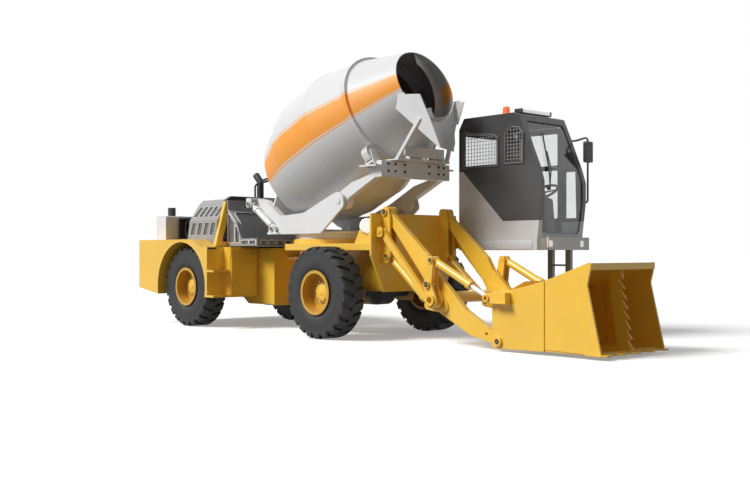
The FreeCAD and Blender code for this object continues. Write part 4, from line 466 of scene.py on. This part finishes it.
def mirrored(bm):
    """Adds the mirror image on the machine's other side."""
    geom = bm.verts[:] + bm.edges[:] + bm.faces[:]
    copy = bmesh.ops.duplicate(bm, geom=geom)["geom"]
    verts = [item for item in copy if isinstance(item, bmesh.types.BMVert)]
    for vert in verts:
        vert.co.y = 2 * FRONT_AXLE.y - vert.co.y
    bmesh.ops.reverse_faces(bm, faces=[item for item in copy if isinstance(item, bmesh.types.BMFace)])


def piece(name, bm, material, body, smooth=35.0, replaces=()):
    """Closes a mesh into an object that rides on a body."""
    bmesh.ops.remove_doubles(bm, verts=bm.verts, dist=1e-5)
    bmesh.ops.recalc_face_normals(bm, faces=bm.faces)
    mesh = bpy.data.meshes.new(name)
    bm.to_mesh(mesh)
    bm.free()
    mesh.shade_smooth()
    mesh.set_sharp_from_angle(angle=math.radians(smooth))
    mesh.materials.append(material)
    made = bpy.data.objects.new(name, mesh)
    bpy.context.scene.collection.objects.link(made)
    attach(made, body)
    if replaces:
        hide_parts(*replaces)
    return made


# ---------------------------------------------------------------- tyres and wheels
TREAD_DEPTH = 0.026
LUGS = 22
LUG_WIDTH = 0.108
LUG_SLANT = math.radians(20)
BEAD = 0.2325
HALF_TYRE = (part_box("tyre_front_left")[1].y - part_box("tyre_front_left")[0].y) / 2


def lug(bm, centre, side):
    """One slanted tread bar from the crown to the shoulder, on the +side half of the tyre."""
    base, top = WHEEL_RADIUS - TREAD_DEPTH - 0.004, WHEEL_RADIUS
    edge = HALF_TYRE
    outline = [(-0.014, base), (-0.014, top - 0.002), (edge * 0.80, top), (edge * 0.955, top - 0.016),
               (edge * 0.985, top - 0.062), (edge * 0.90, top - 0.085), (edge * 0.80, base - 0.012)]
    sides = []
    for width in (0.0, LUG_WIDTH):
        ring = []
        for across, radius in outline:
            slant = (edge - across) * math.tan(LUG_SLANT) + width * (0.88 if across > edge * 0.9 else 1.0)
            angle = slant / WHEEL_RADIUS
            ring.append(bm.verts.new(centre + Vector((radius * math.sin(angle), side * across, radius * math.cos(angle)))))
        sides.append(ring)
    near, far = sides
    bm.faces.new(near)
    bm.faces.new(far[::-1])
    for i in range(len(near)):
        k = (i + 1) % len(near)
        bm.faces.new((near[k], near[i], far[i], far[k]))


def tyre(label):
    bm = bmesh.new()
    centre = middle(label)
    tread = WHEEL_RADIUS - TREAD_DEPTH
    h = HALF_TYRE
    half = [(0.0, tread), (h * 0.70, tread - 0.002), (h * 0.90, tread - 0.014), (h * 0.965, tread - 0.040),
            (h * 0.945, tread - 0.070), (h * 0.955, tread - 0.084), (h * 0.985, tread - 0.120), (h * 0.998, tread - 0.150),
            (h * 0.985, tread - 0.185), (h * 0.945, tread - 0.212), (h * 0.925, tread - 0.216), (h * 0.90, BEAD + 0.040),
            (h * 0.875, BEAD + 0.034), (h * 0.84, BEAD + 0.014), (h * 0.75, BEAD)]
    profile = half + [(-along, off) for along, off in half[::-1]][:-1]
    spun(bm, profile, centre, Y, Z, steps=72)
    for side in (1, -1):
        before = set(bm.verts)
        lug(bm, centre, side)
        if side < 0:
            made = [v for v in bm.verts if v not in before]
            bmesh.ops.rotate(bm, cent=centre, matrix=Matrix.Rotation(math.pi / LUGS, 3, Y), verts=made)
        ring_of(bm, before, centre, Y, LUGS)
    piece(label + "_tread", bm, rubber, label.replace("tyre", "wheel") + "_body", 30.0, (label,))


def wheel_bolts(label):
    """Hub cover with its bolts, and the wheel nuts."""
    low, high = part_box("rim" + label)
    centre = (low + high) / 2
    out = Y if centre.y > FRONT_AXLE.y else -Y
    hub_face = centre + out * 0.052
    bm = bmesh.new()
    spun(bm, [(0.0, 0.0), (0.0, 0.098), (0.006, 0.098), (0.012, 0.088), (0.014, 0.030), (0.020, 0.026), (0.020, 0.0)],
         hub_face, out, Z, 40, closed=False)
    piece("hub_cover" + label, bm, yellow_paint, "wheel%s_body" % label)
    bm = bmesh.new()
    before = set(bm.verts)
    hex_bolt(bm, hub_face + Z * 0.108, out, 0.014)
    ring_of(bm, before, centre, Y, 9)
    before = set(bm.verts)
    hex_bolt(bm, centre + out * 0.007 + Z * 0.152, out, 0.026)
    ring_of(bm, before, centre, Y, 10)
    piece("wheel_nuts" + label, bm, zinc, "wheel%s_body" % label)


for axle in ("_front", "_rear"):
    for side in ("_left", "_right"):
        tyre("tyre" + axle + side)
        wheel_bolts(axle + side)


# ---------------------------------------------------------------- rims of openings and of panes
def rims(node, direction, limit=0.5, past=0.0):
    """Closed loops round the faces of a node that look along a direction and lie beyond a distance from the middle."""
    bm = bmesh.new()
    bm.from_mesh(NODES[node].data)
    bmesh.ops.remove_doubles(bm, verts=bm.verts, dist=1e-5)
    bmesh.ops.dissolve_limit(bm, angle_limit=math.radians(1), verts=bm.verts, edges=bm.edges)
    chosen = {face for face in bm.faces if face.normal.dot(direction) > limit
              and (face.calc_center_median() - FRONT_AXLE).dot(direction) > past}
    steps = {}
    for face in chosen:
        for loop in face.loops:
            if sum(other in chosen for other in loop.edge.link_faces) == 1:
                steps[loop.vert.index] = (loop.link_loop_next.vert.index, loop.vert.co.copy())
    found = []
    while steps:
        start = here = next(iter(steps))
        ring = []
        while here in steps:
            following, place = steps.pop(here)
            ring.append(place)
            here = following
        if here == start and len(ring) > 2:
            found.append(ring)
    bm.free()
    return found


def reach(ring):
    """Longest side of the box round a loop."""
    return max(max(p[i] for p in ring) - min(p[i] for p in ring) for i in range(3))


def breadth(ring):
    """Second longest side of the box round a loop."""
    return sorted(max(p[i] for p in ring) - min(p[i] for p in ring) for i in range(3))[1]


def plane_of(ring, toward):
    """Unit normal of a flat loop, on the side that looks toward a direction."""
    middle_point = sum(ring, Vector()) / len(ring)
    normal = sum(((one - middle_point).cross(two - middle_point) for one, two in zip(ring, ring[1:] + ring[:1])), Vector())
    return normal.normalized() * (1 if normal.dot(toward) > 0 else -1)


def offset_ring(ring, normal, across):
    """The loop widened in its own plane."""
    area = sum((one.cross(two) for one, two in zip(ring, ring[1:] + ring[:1])), Vector())
    sense = 1 if area.dot(normal) > 0 else -1
    moved = []
    for i, here in enumerate(ring):
        one = (here - ring[i - 1]).normalized().cross(normal) * sense
        two = (ring[(i + 1) % len(ring)] - here).normalized().cross(normal) * sense
        moved.append(here + (one + two) * (across / max(1 + one.dot(two), 0.3)))
    return moved


def band(bm, ring, normal, inner, outer, height, sink=0.0):
    """Raised strip that follows a loop."""
    loops = [[bm.verts.new(p + normal * up) for p in offset_ring(ring, normal, across)]
             for across, up in ((-inner, -sink), (-inner * 0.75, height), (outer * 0.75, height), (outer, -sink))]
    count = len(ring)
    for one, two in zip(loops, loops[1:] + loops[:1]):
        for i in range(count):
            bm.faces.new((one[i], one[(i + 1) % count], two[(i + 1) % count], two[i]))


def plate(bm, ring, normal, start, thick, grow=0.0):
    """Flat plate of a loop's shape, from start to start + thick along the normal."""
    shape = offset_ring(ring, normal, grow) if grow else ring
    low = [bm.verts.new(p + normal * start) for p in shape]
    high = [bm.verts.new(p + normal * (start + thick)) for p in shape]
    bm.faces.new(low)
    bm.faces.new(high)
    for i in range(len(shape)):
        k = (i + 1) % len(shape)
        bm.faces.new((low[i], low[k], high[k], high[i]))


def mesh_finish(name, strand, painted_gap_shade, pitch):
    """Woven mesh: two crossing sets of strands, painted on a solid sheet over near-black painted shade that stands for
    the dark space seen through the openings.
    """
    material, tree, shader = new_material(name)
    place = tree.nodes.new("ShaderNodeTexCoord").outputs["Object"]
    parts = tree.nodes.new("ShaderNodeSeparateXYZ")
    tree.links.new(place, parts.inputs[0])
    along = math_node(tree, "ADD", parts.outputs["X"], parts.outputs["Y"])
    marks = []
    for sense in ("ADD", "SUBTRACT"):
        line = math_node(tree, "MULTIPLY", math_node(tree, sense, along, parts.outputs["Z"]), math.tau / pitch)
        marks.append(span(tree, math_node(tree, "SINE", line), 0.35, 0.75))
    wires = math_node(tree, "MAXIMUM", *marks)
    # Between the wires the near-black colour is painted shade of the openings.
    tree.links.new(blend_colour(tree, wires, painted_gap_shade, strand), shader["Base Color"])
    tree.links.new(span(tree, wires, 0, 1, 0.8, 0.45), shader["Roughness"])
    bump = tree.nodes.new("ShaderNodeBump")
    bump.inputs["Strength"].default_value = 0.6
    bump.inputs["Distance"].default_value = 0.002
    tree.links.new(wires, bump.inputs["Height"])
    tree.links.new(bump.outputs["Normal"], shader["Normal"])
    return material


# The near-black second colour is painted shade standing for the dark space behind the grille openings.
grille_mesh = mesh_finish("Grille mesh", (0.20, 0.20, 0.20), (0.012, 0.012, 0.012), 0.012)
trim_white = paint("White trim", (0.80, 0.80, 0.79), rough=0.4, wear=0.1)


def grilles(name, node, direction, past, largest, frame_material, wide=0.010, limit=0.3):
    """Mesh set into each window of a cover, with a frame round it."""
    nets, frames = bmesh.new(), bmesh.new()
    for ring in rims(node, direction, limit, past):
        if 0.05 < reach(ring) < largest:
            normal = plane_of(ring, direction)
            plate(nets, ring, normal, -0.011, 0.003, -0.0006)
            band(frames, ring, normal, 0.001, wide, 0.004)
    piece(name + "_mesh", nets, grille_mesh, BODY_OF[node], 20.0)
    piece(name + "_frames", frames, frame_material, BODY_OF[node], 20.0)


for side, toward in (("right", -Y), ("left", Y)):
    grilles("hood_%s" % side, "engine_hood", toward, 0.4, 0.30, trim_white, 0.007)
    grilles("nose_%s" % side, "hood_nose", toward, 0.6, 0.50, trim_white, 0.014)
grilles("nose_front", "hood_nose", X + Z, -4.0, 1.5, trim_white, 0.012)


def gaskets():
    rubber_seals = bmesh.new()
    for direction, past in ((-Y, -2.0), (-X, -2.0)):
        for ring in rims("cab_glass", direction, 0.9, past):
            if reach(ring) > 0.15:
                band(rubber_seals, ring, plane_of(ring, direction), 0.016, 0.0, 0.010)
    piece("window_seals", rubber_seals, black_plastic, BODY_OF["cab_glass"], 20.0)
    door_seal = bmesh.new()
    for ring in rims("cab_door_glass", Y, 0.9):
        band(door_seal, ring, Y, 0.016, 0.0, 0.010)
    piece("door_window_seal", door_seal, black_plastic, BODY_OF["cab_door"], 20.0)


gaskets()


# ---------------------------------------------------------------- pins, bolts and seams
bpy.context.view_layer.update()


def surface(origin, direction):
    """Where a line first meets the machine, and the node that it meets."""
    graph = bpy.context.evaluated_depsgraph_get()
    found, place, _, _, thing, _ = bpy.context.scene.ray_cast(graph, origin, direction)
    names = [name for name, owner in NODES.items() if owner == thing or owner.name == getattr(thing, "name", "")]
    return (place, names[0]) if found and names else (None, None)


PIN_PLACES = [("boom_pivot", 0.655, 1.465, 0.030), ("crank_pivot", 1.440, 0.657, 0.030), ("bucket_pivot", 2.370, 0.100, 0.026),
              ("tilt_base", 1.485, 0.920, 0.024), ("tilt_eye", 2.280, 0.540, 0.026), ("lift_base", 0.680, 0.961, 0.024),
              ("lift_eye", 1.330, 0.430, 0.024), ("jack_base", -1.340, 1.305, 0.024), ("jack_eye", -1.850, 1.640, 0.024)]


def pin_ends():
    """A collar and the dark end of each pin, on both sides of the machine."""
    made = {}
    for _, x, z, radius in PIN_PLACES:
        for side in (1, -1):
            place, node = surface(spot(x, side * 0.695, z), Vector((0, -side, 0)))
            if place is None:
                continue
            finish = "white" if node in FINISHES[white_paint] else "yellow"
            collars, ends, fittings = made.setdefault((BODY_OF[node], finish), (bmesh.new(), bmesh.new(), bmesh.new()))
            out = Vector((0, side, 0))
            spun(collars, [(0.0, radius), (0.007, radius + 0.001), (0.009, radius + 0.003), (0.009, radius + 0.011),
                           (0.0, radius + 0.014)], place, out, Z, 28)
            rod(ends, place - out * 0.002, place + out * 0.003, radius, 28)
            rod(fittings, place + out * 0.002, place + out * 0.012, 0.0045, 10)
            rod(fittings, place + out * 0.012, place + out * 0.016, 0.006, 10, 0.0035)
    for (body, finish), (collars, ends, fittings) in made.items():
        label = "%s_%s" % (body, finish)
        of_white = finish == "white"
        piece("pin_collars_" + label, collars, white_paint if of_white else yellow_paint, body)
        piece("pin_ends_" + label, ends, stack_metal, body)
        piece("grease_nipples_" + label, fittings, zinc, body)


pin_ends()


def beam_plates():
    """Bolted plates on the tilting frame's front beam."""
    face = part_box("tilt_frame")[1].x
    plates, bolts = bmesh.new(), bmesh.new()
    for low, high in ((-0.39, -0.17), (0.16, 0.39)):
        block(plates, (face, FRONT_AXLE.y + low, 1.915), (face + 0.012, FRONT_AXLE.y + high, 2.050), 0.002)
        for y in (low + 0.035, high - 0.035):
            for z in (1.942, 2.024):
                hex_bolt(bolts, (face + 0.012, FRONT_AXLE.y + y, z), X, 0.022)
    for y in (-0.455, 0.455):
        for z in (1.942, 2.024):
            hex_bolt(bolts, (face, FRONT_AXLE.y + y, z), X, 0.022)
    piece("beam_plates", plates, white_paint, BODY_OF["tilt_frame"])
    piece("beam_bolts", bolts, stack_metal, BODY_OF["tilt_frame"])


beam_plates()


def drum_seams():
    """Weld beads round the drum's plates, and the rolled lip of its mouth."""
    beads = bmesh.new()
    for along, radius in ((1.220, 0.866), (1.748, 0.874), (1.939, 0.846)):
        spun(beads, [(-0.007, radius - 0.003), (-0.004, radius + 0.002), (0.004, radius + 0.002), (0.007, radius - 0.003)],
             MOUTH - DRUM_AXIS * along, DRUM_AXIS, DRUM_UP, 120)
    for along, radius in ((0.598, 0.690), (0.674, 0.722)):
        spun(beads, [(-0.006, radius - 0.004), (-0.003, radius + 0.004), (0.003, radius + 0.004), (0.006, radius - 0.004)],
             MOUTH - DRUM_AXIS * along, DRUM_AXIS, DRUM_UP, 120)
    piece("drum_weld_beads", beads, drum_paint, BODY_OF["drum_shell"], 60.0)


drum_seams()


# ---------------------------------------------------------------- cab trim
CAB_RIGHT, CAB_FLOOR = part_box("cab_lower")[0].y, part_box("cab_lower")[0].z


def guard_frames():
    """Dark frames round the wire guards."""
    frames = bmesh.new()
    for direction in (-Y, -X):
        for ring in rims("window_guards", direction, 0.9, -5.0):
            if breadth(ring) > 0.2:
                band(frames, ring, plane_of(ring, direction), 0.013, 0.003, 0.004, 0.014)
    piece("guard_frames", frames, charcoal_paint, BODY_OF["window_guards"], 20.0)


def wiper():
    """Arm and blade that follow the windscreen's curve."""
    def on_screen(y, z, clear):
        place, _ = surface(spot(3.0, y, z), -X)
        return place + X * clear if place else None

    bm = bmesh.new()
    pivot = on_screen(0.84, 1.735, 0.0)
    rod(bm, pivot - X * 0.002, pivot + X * 0.030, 0.020, 24, round_by=0.004)
    blade = [on_screen(0.86 + 0.15 * step / 8, 1.80 + 0.075 * step, 0.010) for step in range(9)]
    for one, two in zip(blade, blade[1:]):
        rod(bm, one, two, 0.007, 10)
        rod(bm, one + X * 0.010, two + X * 0.010, 0.004, 8)
    arm = [pivot + X * 0.024, on_screen(0.90, 1.95, 0.042), blade[5] + X * 0.022]
    for one, two in zip(arm, arm[1:]):
        rod(bm, one, two, 0.009, 12, 0.006)
    piece("windscreen_wiper", bm, black_plastic, BODY_OF["cab_glass"])


def roof_lamp_bar():
    """Long white roof lamp between dark ends, on two feet."""
    low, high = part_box("roof_unit")
    lens, ends = bmesh.new(), bmesh.new()
    bottom = low.z + 0.018
    block(lens, (low.x, low.y + 0.075, bottom), (high.x, high.y - 0.012, high.z), 0.022)
    for y in (low.y + 0.062, high.y - 0.014):
        block(ends, (low.x - 0.001, y, bottom - 0.001), (high.x + 0.001, y + 0.014, high.z + 0.001), 0.004)
    block(ends, (low.x + 0.01, low.y + 0.08, bottom - 0.008), (high.x + 0.003, high.y - 0.02, bottom + 0.004), 0.002)
    for y in (low.y + 0.15, high.y - 0.12):
        block(ends, (low.x + 0.03, y, low.z), (high.x - 0.03, y + 0.04, bottom), 0.002)
    piece("roof_lamp_lens", lens, lamp_finish, BODY_OF["roof_unit"], replaces=("roof_unit",))
    piece("roof_lamp_ends", ends, black_plastic, BODY_OF["roof_unit"])


def cab_seams():
    """Sill panel along the cab's foot, and the dark seal round its door."""
    sill, seal, bezels = bmesh.new(), bmesh.new(), bmesh.new()
    block(sill, (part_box("cab_lower")[0].x + 0.02, CAB_RIGHT - 0.007, CAB_FLOOR + 0.004),
          (spot(1.80, 0, 0).x, CAB_RIGHT + 0.004, CAB_FLOOR + 0.108), 0.003)
    piece("cab_sill", sill, cab_paint, BODY_OF["cab_lower"])
    face = spot(1.925, 0, 0).x
    bumper = bmesh.new()
    block(bumper, (face - 0.002, spot(0, 0.712, 0).y, CAB_FLOOR + 0.010), (face + 0.004, spot(0, 1.533, 0).y, CAB_FLOOR + 0.134), 0.003)
    piece("bumper_face", bumper, trim_white, BODY_OF["cab_lower"])
    for ring in rims("cab_door", Y, 0.9):
        if reach(ring) > 1.0:
            band(seal, ring, Y, 0.012, 0.0, 0.006)
    piece("door_seal", seal, black_plastic, BODY_OF["cab_door"], 20.0)
    for ring in rims("lamps", X, 0.95, 1.5):
        band(bezels, ring, X, 0.010, 0.004, 0.006)
    piece("square_lamp_bezels", bezels, trim_white, BODY_OF["lamps"], 20.0)


guard_frames()
wiper()
roof_lamp_bar()
cab_seams()


def fender_slot():
    """Dark vent at the head of the steps."""
    wall = spot(-2.150, -1.10, 1.045)
    bm = bmesh.new()
    block(bm, wall - X * 0.002, wall + Vector((0.003, 0.13, 0.022)), 0.002)
    piece("fender_slot", bm, black_plastic, BODY_OF["rear_fenders"])


fender_slot()


# ---------------------------------------------------------------- driver's seat and controls
def cushion(name, centre, size, lean, seams):
    """Upholstered pad: crowned faces, sides drawn in between the corners, and sewn channels."""
    bm = bmesh.new()
    bmesh.ops.create_cube(bm, size=2.0)
    bmesh.ops.subdivide_edges(bm, edges=bm.edges, cuts=23, use_grid_fill=True)
    for vert in bm.verts:
        x, y, z = vert.co
        round_by = (abs(x) ** 7 + abs(y) ** 7 + abs(z) ** 7) ** (1 / 7)
        x, y, z = x / round_by, y / round_by, z / round_by
        crown = (1 - x * x) * (1 - y * y)
        drawn = 1 - 0.035 * (1 - z * z)
        channel = sum(math.exp(-((x - seam) / 0.045) ** 2) for seam in seams)
        side_channel = math.exp(-((abs(y) - 0.68) / 0.035) ** 2)
        sewn = 1 - 0.16 * min(1.0, channel * (1 if abs(y) < 0.68 else 0) + side_channel)
        vert.co = (x * drawn * (1 - 0.03 * (1 - y * y)), y * drawn * (1 - 0.03 * (1 - x * x)),
                   z * (0.80 + 0.20 * crown) * sewn)
    bmesh.ops.scale(bm, vec=Vector(size) / 2, verts=bm.verts)
    bmesh.ops.transform(bm, matrix=Matrix.Translation(centre) @ Matrix.Rotation(lean, 4, "Y"), verts=bm.verts)
    made = piece(name, bm, seat_vinyl, BODY_OF["cab_interior"], 60.0, ("cab_interior",))


def driving_place():
    low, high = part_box("cab_interior")
    across = (low.y + high.y) / 2
    base = low.z

    def at(x, y, z):
        return Vector((FRONT_AXLE.x + x, across + y, base + z))

    cushion("driver_squab", at(1.185, 0, 0.388), (0.455, 0.475, 0.125), math.radians(-2.5), (-0.45, 0.0, 0.45))
    cushion("driver_back", at(0.962, 0, 0.715), (0.600, 0.470, 0.110), math.radians(99.8 - 180), (-0.5, -0.1, 0.3))
    stand = bmesh.new()
    block(stand, at(1.00, -0.17, 0.0), at(1.30, 0.17, 0.05), 0.008)
    for step in range(5):
        grow = 0.012 if step % 2 else 0.0
        block(stand, at(1.01 - grow, -0.16 - grow, 0.05 + 0.052 * step), at(1.29 + grow, 0.16 + grow, 0.102 + 0.052 * step), 0.010)
    block(stand, at(0.99, -0.20, 0.308), at(1.38, 0.20, 0.335), 0.008)
    piece("driver_stand", stand, black_plastic, BODY_OF["cab_interior"], replaces=("cab_interior",))
    console = bmesh.new()
    outline = [at(1.66, 0, 0.0), at(1.76, 0, 0.0), at(1.70, 0, 0.56), at(1.56, 0, 0.62), at(1.60, 0, 0.50)]
    plate(console, outline, Y, -0.08, 0.16)
    bmesh.ops.recalc_face_normals(console, faces=console.faces)
    rounded(console, console.edges[:], 0.010)
    piece("steering_console", console, black_plastic, BODY_OF["cab_interior"], replaces=("cab_interior",))
    wheel = bmesh.new()
    hub = at(1.60, 0, 0.64)
    axis = Vector((-math.sin(math.radians(25)), 0, math.cos(math.radians(25))))
    spun(wheel, [(0.015 * math.sin(a), 0.190 + 0.015 * math.cos(a)) for a in (math.tau * k / 12 for k in range(12))],
         hub, axis, Y, 48)
    rod(wheel, hub - axis * 0.085, hub + axis * 0.012, 0.030, 24, 0.038, 0.004)
    for turn in (90, 210, 330):
        out = Matrix.Rotation(math.radians(turn), 3, axis) @ Y
        rod(wheel, hub, hub + out * 0.188, 0.011, 12, 0.008)
    piece("steering_wheel", wheel, black_plastic, BODY_OF["cab_interior"], replaces=("cab_interior",))


driving_place()


# ---------------------------------------------------------------- floor, light and camera
def mixed_shader(tree, share, one, two):
    node = tree.nodes.new("ShaderNodeMixShader")
    tree.links.new(share, node.inputs[0])
    tree.links.new(one, node.inputs[1])
    tree.links.new(two, node.inputs[2])
    return node.outputs[0]


def seen_directly(tree):
    path = tree.nodes.new("ShaderNodeLightPath").outputs
    one = math_node(tree, "MAXIMUM", path["Is Camera Ray"], path["Is Glossy Ray"])
    return math_node(tree, "MAXIMUM", one, path["Is Transmission Ray"])


FLOOR_SEEN = 0.80
FLOOR_BOUNCE = 0.24
FLOOR_LIFT = 0.29
WORLD_FILL = 0.22
KEY_STRENGTH = 3.45


def studio():
    """White floor to the horizon, an even fill, and one soft key from the right and above."""
    bpy.ops.mesh.primitive_plane_add(size=400, location=(0, 0, 0))
    floor = bpy.context.object
    floor.name = "studio_floor"
    material, tree, shader = new_material("Pale floor")
    seen = seen_directly(tree)
    tree.links.new(blend_colour(tree, seen, (FLOOR_BOUNCE,) * 3, (FLOOR_SEEN,) * 3), shader["Base Color"])
    shader["Roughness"].default_value = 0.9
    shader["Specular IOR Level"].default_value = 0.0
    shader["Emission Color"].default_value = (1, 1, 1, 1)
    tree.links.new(math_node(tree, "MULTIPLY", seen, FLOOR_LIFT), shader["Emission Strength"])
    floor.data.materials.append(material)

    world = bpy.data.worlds.new("Studio")
    bpy.context.scene.world = world
    world.use_nodes = True
    tree = world.node_tree
    background = tree.nodes["Background"]
    background.inputs["Color"].default_value = (1, 1, 1, 1)
    tree.links.new(math_node(tree, "MAXIMUM", seen_directly(tree), WORLD_FILL), background.inputs["Strength"])

    lamp = bpy.data.lights.new("key_light", "SUN")
    lamp.energy = KEY_STRENGTH
    lamp.angle = math.radians(24)
    made = bpy.data.objects.new("key_light", lamp)
    made.rotation_euler = Vector((0.34, 0.80, -0.80)).to_track_quat("-Z", "Y").to_euler()
    bpy.context.scene.collection.objects.link(made)


studio()


def camera():
    lens = bpy.data.cameras.new("main_camera")
    lens.sensor_width = 36.0
    lens.lens = 48.15
    lens.shift_y = 0.0028
    lens.clip_end = 200.0
    made = bpy.data.objects.new("main_camera", lens)
    made.location = spot(9.068, -8.302, 1.008)
    made.rotation_euler = Vector((-0.7413, 0.6712, 0)).to_track_quat("-Z", "Y").to_euler()
    bpy.context.scene.collection.objects.link(made)
    bpy.context.scene.camera = made


camera()
bpy.context.scene.view_settings.view_transform = "Standard"
